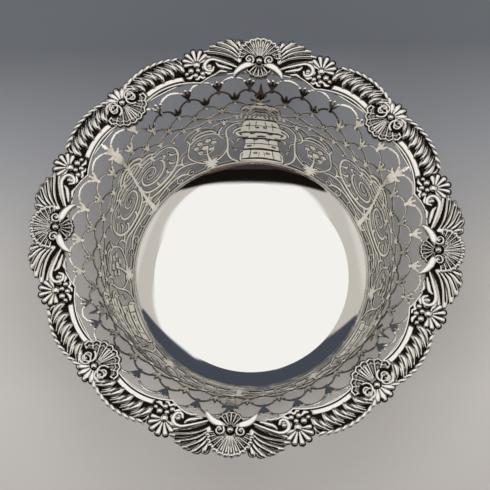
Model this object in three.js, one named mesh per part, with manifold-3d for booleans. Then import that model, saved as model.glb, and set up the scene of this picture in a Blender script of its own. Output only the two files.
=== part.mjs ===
// Centerpiece bowl in sterling silver: a plain dish on a collet foot, a tall pierced wall, and a
// moulded rim that carries a cast border of shells, palmettes, leaf sprays and fluted horns.
// Millimetres, +Z up. The origin is on the table, under the centre of the bowl.
import * as THREE from 'three';
import { mergeVertices } from 'three/addons/utils/BufferGeometryUtils.js';
import Module from 'manifold-3d';

const wasm = await Module();
wasm.setup();

// Driving dimensions of the bowl
const beadCircle = 123;        // radius of the circle through the beads of the large shells
const lipSetback = 6;          // from that circle in to the top edge of the pierced wall
const flareWidth = 19.5;       // width of the flared top of the wall
const flareDrop = 16.7;        // its height
const wallTaper = 15.5;        // how far the wall draws in from the throat to the dish
const wallDrop = 65.6;         // height of the wall from the throat to the dish
const dishCorner = 13;         // width of the curve between the wall and the flat floor
const dishCornerDrop = 6.8;    // its height
const sheet = 1.2;             // thickness of the raised silver
const solderGap = 0.3;         // seam between pieces that are soldered together
const footHeight = 9;
const footInset = 5;           // from the edge of the flat floor in to the foot
const footWall = 1.6;          // thickness of the foot's upper edge
const footTread = 4.2;         // width of the ring that the bowl stands on
const footFlare = 2.4;         // how far the tread stands out from the upper edge
const flareBow = 5;            // how far the flare's curve swings out over the throat
const flareRise = 13.4;        // and how high over the throat it turns outward
const wallHollow = 2.9;        // how far the wall leans in under the throat
const wallBelly = 11;          // and how far it swells out over the dish

// The pierced wall
const repeats = 3;             // the pierced pattern comes three times round
const scalesBeside = 5;        // scales on each side of the narrow one over a cartouche
const narrowScale = 8;         // degrees
const trellisStart = 3;        // from the top edge to the crowns of the first scales
const rowHeights = [8.7, 9.3, 8.7, 8.3, 6.3, 6.7];
const ribWidth = 2;            // width of the ribs between the openings
const trefoilHeight = 6.4;     // from a knot of the trellis to the tip of its trefoil
const hemWidth = 4.3;          // plain strip under the openings
const longestStep = 15;        // degrees that one facet of the wall may span
const longestRun = 50;         // and millimetres down the wall
const lathedSides = 28;        // sides of the turned pieces
const bossSides = 6;           // sides of the small turned bosses of the border
const galleryTurn = 29;        // degrees from a large shell to the first pilaster

// The rim band
const bandThickness = 2;
const bandWidth = 11.5;        // from the lip's edge to the band's outer edge
const bowDepth = 5.2;          // how far the inner edge bows outward between two points
const pointReach = 4.8;        // how far its points stand in over the lip
const brightRibHeight = 1.6;
const brightRibWidth = 3.4;
const brightRibStart = 24.6;   // degrees from a large shell
const brightRibEnd = 37;
const brightRibSetback = 1.1;  // from the lip's edge, and from the moulding at the bows
const mouldingWidth = 2.1;

// The cast border: reaches are millimetres from the bead circle, angles and half-widths are degrees
const quarters = 4;            // large shells round the border
const castBase = 1.6;          // thickness of a casting at its edge
const shellReach = 17.2;
const shellHalfWidth = 6.7;
const shellRibs = 7;
const shellCrown = 5.2;
const innerFanReach = 11.5;
const innerFanHalfWidth = 3.4;
const beadSize = 2.9;
const voluteAngle = 3.3;       // the pair of volutes beside a large shell's bead
const voluteReach = 0.8;
const voluteHalfWidth = 1.2;
const voluteHeight = 4;
const tongueAngle = 9.6;       // tip of the tongue leaf that leaves each volute
const tongueReach = 8;
const tongueWidth = 4.4;
const tongueCrown = 2.6;
const palmetteAngle = 19.5;    // degrees from a large shell to a palmette
const palmetteReach = 13.2;
const palmetteHalfWidth = 3.2;
const palmetteRays = 7;
const palmetteRoot = 3.4;
const palmetteLeafWidth = 8;
const palmetteLeafCrown = 3.6;
const hornStart = 23.4;
const hornEnd = 40.4;
const hornReach = 12.4;
const hornFoot = 0.2;          // the horn's inner edge, inside the bead circle
const hornTeeth = 6;
const hornCrown = 4.6;
const hornVoluteReach = 4.2;
const scallopRibs = 7;
const scallopReach = 15.2;
const scallopHalfWidth = 6.1;
const scallopCrown = 2.6;
const scallopRoot = 4;
const minorFanReach = 12.3;
const minorBeadReach = 3.6;
const minorBeadSize = 2.6;
const sprayLobes = 5;
const sprayNear = 7.6;         // angles of the spray's first and last leaf tip
const sprayFar = 15.4;
const sprayNearReach = 14.6;
const sprayCrownReach = 16;
const sprayFarReach = 9.4;
const sprayRootReach = 6.6;
const scrollReach = 5.4;       // the small scroll under the spray
const scrollWidth = 4;

const floorTop = footHeight + solderGap + sheet;
const seatHeight = floorTop + dishCornerDrop + wallDrop + flareDrop + bandThickness + solderGap;
const lipRadius = beadCircle - lipSetback;
const lipHeight = seatHeight - bandThickness - solderGap;
const throatRadius = lipRadius - flareWidth;
const throatHeight = lipHeight - flareDrop;
const wallFootRadius = throatRadius - wallTaper;
const wallFootHeight = throatHeight - wallDrop;
const floorRadius = wallFootRadius - dishCorner;

const silver = (color, roughness) => new THREE.MeshStandardMaterial({ color, roughness, metalness: 1 });
const polishedSilver = silver(0xd9d6cf, 0.16);
const piercedSilver = silver(0xcfcac1, 0.26);
const castSilver = silver(0xc9c2b6, 0.32);

// Degrees at the bead circle as millimetres
const arcLength = (degrees) => THREE.MathUtils.degToRad(degrees) * beadCircle;

// A point of the bowl from its angle, its distance from the axis and its height
function polar(degrees, radius, height) {
  const angle = THREE.MathUtils.degToRad(degrees);
  return new THREE.Vector3(radius * Math.cos(angle), radius * Math.sin(angle), height);
}

function geometryOf(points, triangles) {
  const geometry = new THREE.BufferGeometry().setFromPoints(points);
  geometry.setIndex(triangles.flat());
  let volume = 0;
  for (const [a, b, c] of triangles) {
    volume += points[a].dot(new THREE.Vector3().crossVectors(points[b], points[c]));
  }
  if (volume < 0) {
    geometry.setIndex(triangles.map(([a, b, c]) => [a, c, b]).flat());
  }
  return geometry;
}

function solidOf(source) {
  const bare = source.clone();
  bare.deleteAttribute('normal');
  bare.deleteAttribute('uv');
  const merged = mergeVertices(bare, 1e-4);
  return new wasm.Manifold(new wasm.Mesh({
    numProp: 3,
    vertProperties: new Float32Array(merged.attributes.position.array),
    triVerts: new Uint32Array(merged.index.array),
  }));
}

function geometryOfSolid(solid) {
  const mesh = solid.getMesh();
  const geometry = new THREE.BufferGeometry();
  geometry.setAttribute('position', new THREE.BufferAttribute(new Float32Array(mesh.vertProperties), 3));
  geometry.setIndex(new THREE.BufferAttribute(new Uint32Array(mesh.triVerts), 1));
  return geometry;
}

function fuse(...geometries) {
  const solids = geometries.map(solidOf);
  return geometryOfSolid(solids.reduce((whole, solid) => whole.add(solid)));
}

// A casting: a grid of points on top, a flat back at the seat, and walls where the edge of the top
// stands above the back. place(across, along) gives angle, reach and height over the back.
function casting(columns, rows, place) {
  const back = seatHeight + solderGap;
  const points = [];
  const triangles = [];
  const index = (i, j) => i * (rows + 1) + j;
  for (let i = 0; i <= columns; i += 1) {
    for (let j = 0; j <= rows; j += 1) {
      const [degrees, reach, height] = place(i / columns, j / rows);
      points.push(polar(degrees, beadCircle + reach, back + height));
    }
  }
  for (let i = 0; i < columns; i += 1) {
    for (let j = 0; j < rows; j += 1) {
      triangles.push([index(i, j), index(i + 1, j), index(i + 1, j + 1)]);
      triangles.push([index(i, j), index(i + 1, j + 1), index(i, j + 1)]);
    }
  }
  const loop = [];
  for (let i = 0; i < columns; i += 1) loop.push(index(i, 0));
  for (let j = 0; j < rows; j += 1) loop.push(index(columns, j));
  for (let i = columns; i > 0; i -= 1) loop.push(index(i, rows));
  for (let j = rows; j > 0; j -= 1) loop.push(index(0, j));
  const feet = loop.map((corner) => {
    const { x, y, z } = points[corner];
    if (z - back < 1e-6) return corner;
    return points.push(new THREE.Vector3(x, y, back)) - 1;
  });
  loop.forEach((corner, k) => {
    const next = (k + 1) % loop.length;
    if (feet[k] !== corner) triangles.push([loop[next], corner, feet[k]]);
    if (feet[next] !== loop[next]) triangles.push([loop[next], feet[k], feet[next]]);
  });
  const outline = loop.map((corner) => new THREE.Vector2(points[corner].x, points[corner].y));
  const clockwise = THREE.ShapeUtils.isClockWise(outline);
  for (const [p, q, r] of THREE.ShapeUtils.triangulateShape(outline, [])) {
    const turned = THREE.ShapeUtils.area([outline[p], outline[q], outline[r]]) < 0;
    const face = turned === clockwise ? [p, r, q] : [p, q, r];
    triangles.push(face.map((corner) => feet[corner]));
  }
  return geometryOf(points, triangles);
}

// A round boss of the border: a bead, or the drum of a volute, turned from half a section
function boss(degrees, reach, section) {
  const place = polar(degrees, beadCircle + reach, seatHeight + solderGap);
  return new THREE.LatheGeometry(section.map(([x, y]) => new THREE.Vector2(x, y)), bossSides)
    .rotateX(Math.PI / 2)
    .rotateZ(THREE.MathUtils.degToRad(degrees))
    .translate(place.x, place.y, place.z);
}

function bead(degrees, reach, size) {
  return boss(degrees, reach, [[0, 0], [size, 0], [size * 0.9, size * 0.85], [0, size * 1.5]]);
}

function volute(degrees, reach, halfWidth, height) {
  const radius = arcLength(halfWidth);
  const section = [[0, 0], [radius, 0], [radius, height * 0.5], [radius * 0.45, height], [0, height]];
  return boss(degrees, reach, section);
}

// The inner face of the wall from the lip down to the dish: a flare over a long swelling side
function wallProfile() {
  const path = new THREE.Path();
  path.moveTo(lipRadius, lipHeight);
  path.quadraticCurveTo(throatRadius + flareBow, throatHeight + flareRise, throatRadius, throatHeight);
  path.bezierCurveTo(
    throatRadius - wallHollow, throatHeight - wallDrop * 0.23,
    wallFootRadius + wallBelly, wallFootHeight + wallDrop * 0.28,
    wallFootRadius, wallFootHeight,
  );
  return path;
}

const profile = wallProfile();
const profileLength = profile.getLength();

// A point of the wall: along runs down from the lip on the inner face, out goes through the sheet
function wallPoint(degrees, along, out) {
  const share = THREE.MathUtils.clamp(along / profileLength, 0, 1);
  const point = profile.getPointAt(share);
  const tangent = profile.getTangentAt(share);
  return polar(degrees, point.x - tangent.y * out, point.y + tangent.x * out);
}

// The well dish: a flat floor and the curve that meets the wall
function wellDish() {
  const tangent = profile.getTangentAt(1);
  const rim = new THREE.Vector2(wallFootRadius, wallFootHeight).addScaledVector(tangent, solderGap);
  const reach = (rim.y - floorTop) / -tangent.y;
  const corner = new THREE.Vector2(rim.x + tangent.x * reach, floorTop);
  const curve = new THREE.QuadraticBezierCurve(rim, corner, new THREE.Vector2(floorRadius, floorTop));
  const steps = 3;
  const inner = [];
  const outer = [];
  for (let k = 0; k <= steps; k += 1) {
    const point = curve.getPoint(k / steps);
    const slope = curve.getTangent(k / steps);
    inner.push(point);
    outer.push(new THREE.Vector2(point.x - slope.y * sheet, point.y + slope.x * sheet));
  }
  const underside = floorTop - sheet;
  outer[steps].y = underside;
  const middle = [new THREE.Vector2(0, underside), new THREE.Vector2(0, floorTop)];
  const section = [middle[0], ...outer.reverse(), ...inner, middle[1]];
  return new THREE.LatheGeometry(section, lathedSides).rotateX(Math.PI / 2);
}

// The collet foot, a ring with a moulded tread
function footRing() {
  const upper = floorRadius - footInset;
  const tread = upper + footFlare;
  const section = [
    [upper - footWall, footHeight], [tread - footTread, 0], [tread, 0], [tread, footHeight * 0.2],
    [upper + footFlare * 0.3, footHeight * 0.35], [upper, footHeight], [upper - footWall, footHeight],
  ].map(([radius, height]) => new THREE.Vector2(radius, height));
  return new THREE.LatheGeometry(section, lathedSides).rotateX(Math.PI / 2);
}

// The pierced wall is drawn flat first: across is an angle in degrees, along runs down the profile
const flatPoint = (across, along) => new THREE.Vector2(across, along);
const rowLevels = [trellisStart];
for (const height of rowHeights) rowLevels.push(rowLevels.at(-1) + height);
const repeatAngle = 360 / repeats;
const scaleAngle = (repeatAngle - narrowScale) / (2 * scalesBeside);
const scalesPerRepeat = 2 * scalesBeside + 1;
const trellisRows = rowHeights.length - 1;

// Angle of a knot of the trellis. Whole numbers are the knots of odd rows, counted from the pilaster
// between two repeats, and halves are the knots of even rows, in the middle of a scale.
function knotAngle(number) {
  const repeat = Math.floor(number / scalesPerRepeat);
  const local = number - repeat * scalesPerRepeat;
  const before = Math.min(local, scalesBeside);
  const after = Math.max(local - scalesBeside - 1, 0);
  const middle = THREE.MathUtils.clamp(local - scalesBeside, 0, 1);
  return repeat * repeatAngle + (before + after) * scaleAngle + middle * narrowScale;
}

// Millimetres along the wall as degrees, near the throat
const asDegrees = (millimetres) => THREE.MathUtils.radToDeg(millimetres / throatRadius);

// The shoulder of an arch between its crown and its knot
const shoulderAcross = 0.76;
const shoulderAlong = 0.36;
const shoulder = (crown, knot) => flatPoint(
  crown.x + (knot.x - crown.x) * shoulderAcross,
  crown.y + (knot.y - crown.y) * shoulderAlong,
);
const knotAt = (number, level) => flatPoint(knotAngle(number), rowLevels[level]);

// The opening of a scale. Its arch springs from two knots, its crown is on a knot of the row above,
// and a trefoil stands up into it from the knot below. The scales of row 0 have no arch: their
// openings end at the plain strip under the rim.
function scaleOpening(row, number) {
  const left = knotAt(number - 0.5, row);
  const right = knotAt(number + 0.5, row);
  const below = knotAt(number, row + 1);
  const bottom = flatPoint(below.x, below.y - trefoilHeight);
  if (row === 0) {
    const top = trellisStart * 0.6;
    return {
      left: flatPoint((left.x + below.x) / 2, top),
      right: flatPoint((right.x + below.x) / 2, top),
      bottom,
    };
  }
  const crown = knotAt(number, row - 1);
  const half = ribWidth / 2;
  const wide = asDegrees(half);
  const inside = (point, side) => flatPoint(point.x - side * wide * 0.8, point.y + half * 0.8);
  return {
    top: flatPoint(crown.x, crown.y + half),
    upperRight: inside(shoulder(crown, right), 1),
    right: flatPoint(right.x - wide, right.y - half),
    bottom,
    left: flatPoint(left.x + wide, left.y - half),
    upperLeft: inside(shoulder(crown, left), -1),
  };
}

// The openings of half a repeat under the trellis, from the middle of the cartouche (0) to the
// middle of the pilaster (1) across, and from the trellis (0) to the hem (1) along
const cartoucheCrest = [[0.02, -0.13], [0.08, -0.12], [0.075, -0.03], [0.02, -0.05]];
const cartoucheShoulder = [[0.135, 0.15], [0.19, 0.09], [0.235, 0.18], [0.215, 0.31], [0.15, 0.28]];
const cartoucheNiche = [[0.185, 0.38], [0.24, 0.36], [0.24, 0.6], [0.23, 0.88], [0.17, 0.92], [0.16, 0.66]];
const medallionCorner = [[0.275, 0.2], [0.36, 0.19], [0.375, 0.36], [0.275, 0.46]];
const medallionArch = [[0.4, 0.17], [0.54, 0.19], [0.565, 0.37], [0.5, 0.28], [0.4, 0.27]];
const medallionLeft = [[0.277, 0.54], [0.34, 0.5], [0.365, 0.64], [0.41, 0.83], [0.34, 0.87], [0.285, 0.75]];
const medallionRight = [[0.48, 0.52], [0.55, 0.47], [0.55, 0.7], [0.5, 0.86], [0.435, 0.82], [0.455, 0.66]];
const medallionFoot = [[0.275, 0.88], [0.4, 0.92], [0.53, 0.89], [0.61, 0.92], [0.61, 0.985], [0.275, 0.985]];
const medallionSide = [[0.58, 0.5], [0.615, 0.42], [0.615, 0.83], [0.58, 0.86]];
const scrollFoot = [[0.64, 0.91], [0.7, 0.89], [0.79, 0.93], [0.89, 0.93], [0.88, 0.985], [0.64, 0.985]];
const canopyGap = [[0.79, -0.04], [0.82, -0.1], [0.86, -0.09], [0.88, 0], [0.82, 0]];

// The gap between two turns of a scroll, as a crescent that narrows towards both ends
function scrollGap(reachOut, reachIn, from, to, steps) {
  const centre = [0.83, 0.4];
  const stretch = [0.165, 0.37];
  const outer = [];
  const inner = [];
  for (let k = 0; k <= steps; k += 1) {
    const share = k / steps;
    const angle = THREE.MathUtils.degToRad(from + (to - from) * share);
    const narrow = (reachOut - reachIn) * (0.5 - 0.5 * Math.sin(Math.PI * (0.12 + 0.76 * share)));
    for (const [reach, side] of [[reachOut - narrow, outer], [reachIn + narrow, inner]]) {
      side.push([
        centre[0] + stretch[0] * reach * Math.cos(angle),
        centre[1] + stretch[1] * reach * Math.sin(angle),
      ]);
    }
  }
  return [...outer, ...inner.reverse()];
}

const cartoucheOpenings = [cartoucheCrest, cartoucheShoulder, cartoucheNiche];
const medallionOpenings = [
  medallionCorner, medallionArch, medallionLeft, medallionRight, medallionFoot, medallionSide,
];
const scrollOpenings = [
  canopyGap, scrollFoot,
  scrollGap(0.95, 0.7, 20, 165, 3),
  scrollGap(0.95, 0.66, 195, 320, 3),
  scrollGap(0.5, 0.2, 40, 250, 3),
];

const scrollTop = rowLevels[4];
const scrollBottom = profileLength - hemWidth;
const halfRepeat = repeatAngle / 2;

function placeOpening(points, middle, side) {
  return points.map(([across, along]) => flatPoint(
    middle + side * across * halfRepeat,
    scrollTop + along * (scrollBottom - scrollTop),
  ));
}

// How many scales a knot stands from the middle of the cartouche in its repeat
function distanceToCartouche(number) {
  return Math.abs(THREE.MathUtils.euclideanModulo(number, scalesPerRepeat) - scalesBeside - 0.5);
}

// Which scales the rows have: the cartouche and the scrolls take the place of the others
function hasScale(row, distance) {
  if (row <= 2) return true;
  if (row === 3) return distance >= 1;
  if (row === 4) return distance > 1 && distance < 4;
  return false;
}

// A corner of the opening of a scale, or the knot itself where the trellis has no scale
function cornerOf(row, number, corner, knot) {
  const there = row >= 0 && hasScale(row, distanceToCartouche(number));
  return there ? scaleOpening(row, number)[corner] : knot;
}

// The metal at a knot, between the corners of the four openings round it
function knotPanel(number, level) {
  const knot = knotAt(number, level);
  const corners = [
    cornerOf(level - 1, number, 'bottom', knot),
    cornerOf(level, number + 0.5, 'left', knot),
    cornerOf(level + 1, number, 'top', knot),
    cornerOf(level, number - 0.5, 'right', knot),
  ];
  return { outline: corners.filter((corner, k) => !corner.equals(corners[(k + 1) % 4])), openings: [] };
}

// The metal of an arch on one side (-1 left, 1 right), from its crown to its knot. Over it is the
// opening of the row above, and under it the arch's own opening or the zone under the trellis.
function ribPanel(row, number, side) {
  const crown = knotAt(number, row - 1);
  const knot = knotAt(number + side / 2, row);
  const [near, far] = side > 0 ? ['left', 'right'] : ['right', 'left'];
  const over = scaleOpening(row - 1, number + side / 2);
  const under = [crown, shoulder(crown, knot), knot];
  if (hasScale(row, distanceToCartouche(number))) {
    const opening = scaleOpening(row, number);
    under.splice(0, 3, opening.top, opening[side > 0 ? 'upperRight' : 'upperLeft'], opening[far]);
  }
  return { outline: [over[near], ...under, over.bottom], openings: [] };
}

// The plain strip over the trellis, from the middle of one opening to the next
function edgePanels(number) {
  const edge = flatPoint(knotAngle(number), 0);
  const nextEdge = flatPoint(knotAngle(number + 1), 0);
  const here = scaleOpening(0, number);
  const next = scaleOpening(0, number + 1);
  const crown = scaleOpening(1, number + 0.5).top;
  return [
    { outline: [edge, nextEdge, next.left, crown, here.right], openings: [] },
    { outline: [edge, here.right, here.left], openings: [] },
  ];
}

// Every panel of the wall as an outline with its openings
function wallPanels() {
  const panels = [];
  for (let column = 0; column < repeats * scalesPerRepeat; column += 1) {
    panels.push(...edgePanels(column));
    for (let row = 1; row <= trellisRows; row += 1) {
      const number = row % 2 ? column + 0.5 : column;
      for (const side of [-1, 1]) {
        const isUnderScale = hasScale(row - 1, distanceToCartouche(number + side / 2));
        if (isUnderScale) panels.push(ribPanel(row, number, side));
      }
      const knot = knotPanel(row % 2 ? column : column + 0.5, row);
      if (knot.outline.length > 2) panels.push(knot);
    }
  }
  for (let repeat = 0; repeat < repeats; repeat += 1) {
    panels.push(...repeatPanels(repeat));
  }
  return panels;
}

// The level of the trellis's lower edge at a knot
function edgeLevel(distance, onWhole) {
  if (onWhole) return hasScale(4, distance) ? 5 : 3;
  return distance < 0.5 ? 2 : 4;
}

// The part of the wall under the trellis between two knots, with the openings that belong to it
function lowerPanel(from, to, openings) {
  const knots = [];
  for (let number = from; number <= to; number += 0.5) {
    const level = edgeLevel(distanceToCartouche(number), Number.isInteger(number));
    knots.push(flatPoint(knotAngle(number), rowLevels[level]));
  }
  const outline = [];
  knots.forEach((knot, k) => {
    outline.push(knot);
    const next = knots[k + 1];
    if (!next) return;
    const [crown, foot] = knot.y < next.y ? [knot, next] : [next, knot];
    outline.push(shoulder(crown, foot));
  });
  outline.push(flatPoint(knotAngle(to), profileLength), flatPoint(knotAngle(from), profileLength));
  return { outline, openings };
}

// The cartouche, and on each side of it a medallion and a scroll, up to the pilasters
function repeatPanels(repeat) {
  const middle = repeat * scalesPerRepeat + scalesBeside + 0.5;
  const cut = (shapes, side) => shapes.map((shape) => placeOpening(shape, knotAngle(middle), side));
  const panels = [
    lowerPanel(middle - 1.5, middle + 1.5, [...cut(cartoucheOpenings, -1), ...cut(cartoucheOpenings, 1)]),
  ];
  for (const side of [-1, 1]) {
    const knots = [1.5, 3.5, scalesBeside + 0.5].map((distance) => middle + side * distance);
    const between = (a, b) => [Math.min(a, b), Math.max(a, b)];
    panels.push(lowerPanel(...between(knots[0], knots[1]), cut(medallionOpenings, side)));
    panels.push(lowerPanel(...between(knots[1], knots[2]), cut(scrollOpenings, side)));
  }
  return panels;
}

// Cuts a panel into triangles, all turned the same way
function trianglesOf({ outline, openings }) {
  const points = [outline, ...openings].flat();
  const faces = THREE.ShapeUtils.triangulateShape(outline, openings);
  return faces.map((face) => {
    const corners = face.map((index) => points[index]);
    return THREE.ShapeUtils.area(corners) > 0 ? corners : corners.reverse();
  });
}

// Halves every edge that is too long to follow the round wall, alike on both sides of the edge
function refine(triangles) {
  const isLong = (p, q) => Math.abs(p.x - q.x) > longestStep || Math.abs(p.y - q.y) > longestRun;
  const halfway = (p, q) => flatPoint((p.x + q.x) / 2, (p.y + q.y) / 2);
  const finer = [];
  for (const [a, b, c] of triangles) {
    const turns = [[a, b, c], [b, c, a], [c, a, b]];
    const count = turns.filter(([p, q]) => isLong(p, q)).length;
    if (count === 0) {
      finer.push([a, b, c]);
    } else if (count === 1) {
      const [p, q, r] = turns.find(([s, t]) => isLong(s, t));
      const m = halfway(p, q);
      finer.push([p, m, r], [m, q, r]);
    } else if (count === 2) {
      const [r, p, q] = turns.find(([s, t]) => !isLong(s, t));
      const m = halfway(p, q);
      const n = halfway(q, r);
      finer.push([r, p, m], [r, m, n], [m, q, n]);
    } else {
      const [m, n, o] = turns.map(([p, q]) => halfway(p, q));
      finer.push([a, m, o], [m, b, n], [o, n, c], [m, n, o]);
    }
  }
  return finer.length === triangles.length ? triangles : refine(finer);
}

// The wall: every flat triangle once on the inner face and once on the outer face, and a strip of
// the sheet's thickness along every edge that has a triangle on one side only
function piercedGallery() {
  const triangles = refine(wallPanels().flatMap(trianglesOf));
  const points = [];
  const known = new Map();
  const pairOf = (corner) => {
    const turn = THREE.MathUtils.euclideanModulo(Math.round(corner.x * 1e4), 360e4);
    const key = `${turn} ${Math.round(corner.y * 1e4)}`;
    if (!known.has(key)) {
      known.set(key, points.length);
      points.push(wallPoint(corner.x, corner.y, 0), wallPoint(corner.x, corner.y, sheet));
    }
    return known.get(key);
  };
  const faces = [];
  const edges = new Map();
  for (const triangle of triangles) {
    const [a, b, c] = triangle.map(pairOf);
    faces.push([a, b, c], [a + 1, c + 1, b + 1]);
    for (const [from, to] of [[a, b], [b, c], [c, a]]) edges.set(`${from} ${to}`, [from, to]);
  }
  for (const [from, to] of edges.values()) {
    if (edges.has(`${to} ${from}`)) continue;
    faces.push([to, from, from + 1], [to, from + 1, to + 1]);
  }
  return geometryOf(points, faces);
}

// The border is alike in every octant, from a large shell (0) to a small one
const octant = 180 / quarters;

// The inner edge of the rim band: bows between points that stand at the shells and palmettes
function bandInnerRadius(degrees) {
  const turn = THREE.MathUtils.euclideanModulo(degrees, 2 * octant);
  const local = Math.min(turn, 2 * octant - turn);
  const [from, to] = local < palmetteAngle ? [0, palmetteAngle] : [palmetteAngle, octant];
  const share = (local - from) / (to - from);
  return lipRadius - pointReach + bowDepth * Math.sin(Math.PI * share);
}

function rimBand() {
  const ramp = 1.2;
  const stations = [
    0, palmetteAngle / 2, palmetteAngle,
    brightRibStart, brightRibStart + ramp, brightRibEnd - ramp, brightRibEnd,
  ];
  const angles = [];
  for (let side = 0; side < quarters; side += 1) {
    const start = side * 2 * octant;
    angles.push(...stations.map((angle) => start + angle), start + octant);
    angles.push(...stations.slice(1).reverse().map((angle) => start + 2 * octant - angle));
  }
  const rings = angles.map((degrees) => {
    const turn = degrees % (2 * octant);
    const local = Math.min(turn, 2 * octant - turn);
    const risen = local > brightRibStart + ramp / 2 && local < brightRibEnd - ramp / 2;
    const inner = bandInnerRadius(degrees);
    const ribFoot = Math.max(lipRadius + brightRibSetback, inner + mouldingWidth);
    const section = [
      [inner, -bandThickness], [inner + 0.5, 0], [inner + 1.4, -0.6], [ribFoot, 0],
      [ribFoot + brightRibWidth / 2, risen ? brightRibHeight : 0],
      [ribFoot + brightRibWidth, 0], [lipRadius + bandWidth, 0], [lipRadius + bandWidth, -bandThickness],
    ];
    return section.map(([radius, height]) => polar(degrees, radius, seatHeight + height));
  });
  return sweptRing(rings);
}

// Closes a row of like sections into a ring
function sweptRing(rings) {
  const size = rings[0].length;
  const triangles = [];
  rings.forEach((ring, i) => {
    const next = (i + 1) % rings.length;
    for (let j = 0; j < size; j += 1) {
      const k = (j + 1) % size;
      triangles.push([i * size + j, next * size + j, next * size + k]);
      triangles.push([i * size + j, next * size + k, i * size + k]);
    }
  });
  return geometryOf(rings.flat(), triangles);
}

// How high a dome stands over its back from one edge (0) to the other (1)
const dome = (share) => Math.sin(Math.PI * share);

// A fan of ribs that spreads from one point. Crests and valleys alternate from side to side, the
// crests reach further than the valleys, and the fan is domed along its ribs.
function fan({ root, reach, halfWidth, spread, ribs, rows, crown, edge, lobe = 0.07 }) {
  return casting(2 * ribs, rows, (across, along) => {
    const crest = Math.round(across * 2 * ribs) % 2 === 1;
    const atSide = across === 0 || across === 1;
    const angle = THREE.MathUtils.degToRad(spread * (2 * across - 1));
    const length = (0.14 + 0.86 * along) * (crest ? 1 : 1 - lobe * along);
    const relief = crest ? crown : crown * 0.55;
    return [
      halfWidth * length * Math.sin(angle),
      root + reach * length * Math.cos(angle),
      atSide || along === 0 ? 0 : edge * along + relief * dome(along * 0.85),
    ];
  });
}

// A leaf with a raised midrib from one point to another, each an angle and a reach
function leaf(from, to, width, crown) {
  const run = new THREE.Vector2(arcLength(to[0] - from[0]), to[1] - from[1]).normalize();
  return casting(2, 2, (across, along) => {
    const offset = (across - 0.5) * width * (along === 0.5 ? 1 : 0.35);
    return [
      from[0] + (to[0] - from[0]) * along - (run.y * offset) / arcLength(1),
      from[1] + (to[1] - from[1]) * along + run.x * offset,
      across === 0.5 ? crown * (0.45 + 0.55 * dome(along)) : 0,
    ];
  });
}

function mainShell() {
  const outerFan = fan({
    root: 0, reach: shellReach, halfWidth: shellHalfWidth, spread: 76, ribs: shellRibs, rows: 2,
    crown: shellCrown, edge: castBase,
  });
  const innerFan = fan({
    root: 0, reach: -innerFanReach, halfWidth: innerFanHalfWidth, spread: 70, ribs: 3, rows: 1,
    crown: 0, edge: castBase,
  });
  const parts = [innerFan, bead(0, 0, beadSize)];
  for (const side of [-1, 1]) {
    parts.push(volute(side * voluteAngle, voluteReach, voluteHalfWidth, voluteHeight));
    const root = [side * 0.9, -voluteReach];
    parts.push(leaf(root, [side * tongueAngle, -tongueReach], tongueWidth, tongueCrown));
  }
  return fuse(outerFan, ...parts);
}

function minorShell() {
  const scallop = fan({
    root: scallopRoot, reach: -scallopReach - scallopRoot, halfWidth: scallopHalfWidth, spread: 64,
    ribs: scallopRibs, rows: 2, crown: scallopCrown, edge: castBase,
  });
  const outerRoot = minorBeadReach - 0.6;
  const outerFan = fan({
    root: outerRoot, reach: minorFanReach - outerRoot, halfWidth: 2, spread: 62, ribs: 2, rows: 1,
    crown: 0, edge: castBase * 1.5,
  });
  return fuse(scallop, outerFan, bead(0, minorBeadReach, minorBeadSize));
}

function palmette() {
  const rays = fan({
    root: palmetteRoot, reach: palmetteReach - palmetteRoot, halfWidth: palmetteHalfWidth, spread: 74,
    ribs: palmetteRays, rows: 1, crown: 0, edge: castBase * 1.5, lobe: 0.3,
  });
  const foot = [0, -palmetteRoot * 2];
  const tip = [0, palmetteRoot * 1.8];
  return fuse(rays, leaf(foot, tip, palmetteLeafWidth, palmetteLeafCrown));
}

// A fluted horn: slanted leaves along an arc, with a toothed outer edge and a volute at its end
function gadroonRun() {
  const length = hornEnd - hornStart;
  const slant = 0.7;
  const horn = casting(2 * hornTeeth, 2, (across, along) => {
    const crest = Math.round(across * 2 * hornTeeth) % 2 === 1;
    const arch = dome(0.14 + 0.76 * across);
    const outer = hornReach * (0.36 + 0.64 * arch) + (crest ? 0.5 : -0.5);
    return [
      hornStart + length * across + slant * along * dome(across),
      (outer + hornFoot) * along - hornFoot,
      [0, crest ? hornCrown : hornCrown * 0.6, castBase][Math.round(2 * along)],
    ];
  });
  return fuse(horn, volute(hornEnd + 0.9, hornVoluteReach, voluteHalfWidth, voluteHeight));
}

// A spray of leaves that rises beside a large shell and turns over a C-scroll
function acanthusSpray() {
  const crown = (sprayNear + sprayFar) / 2 + 0.7;
  const root = new THREE.LineCurve(
    new THREE.Vector2(sprayNear + 0.4, -sprayRootReach / 2),
    new THREE.Vector2(crown - 1, -sprayRootReach),
  );
  const tips = new THREE.QuadraticBezierCurve(
    new THREE.Vector2(sprayNear, sprayNearReach),
    new THREE.Vector2(crown, sprayCrownReach),
    new THREE.Vector2(sprayFar, sprayFarReach),
  );
  const spray = casting(2 * sprayLobes, 2, (across, along) => {
    const crest = Math.round(across * 2 * sprayLobes) % 2 === 1;
    const start = root.getPoint(across);
    const point = start.lerp(tips.getPoint(across), along * (crest ? 1 : 0.92));
    const height = along === 0 ? 0 : castBase * along + castBase * (crest ? 2 : 0.9) * dome(along * 0.9);
    return [point.x, point.y, height];
  });
  const scrollFrom = [crown - 1.4, -scrollReach];
  const scrollTo = [sprayFar + 0.2, scrollReach * 0.55];
  return fuse(spray, leaf(scrollFrom, scrollTo, scrollWidth, scrollWidth * 0.75));
}

const bowl = new THREE.Group();

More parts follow.
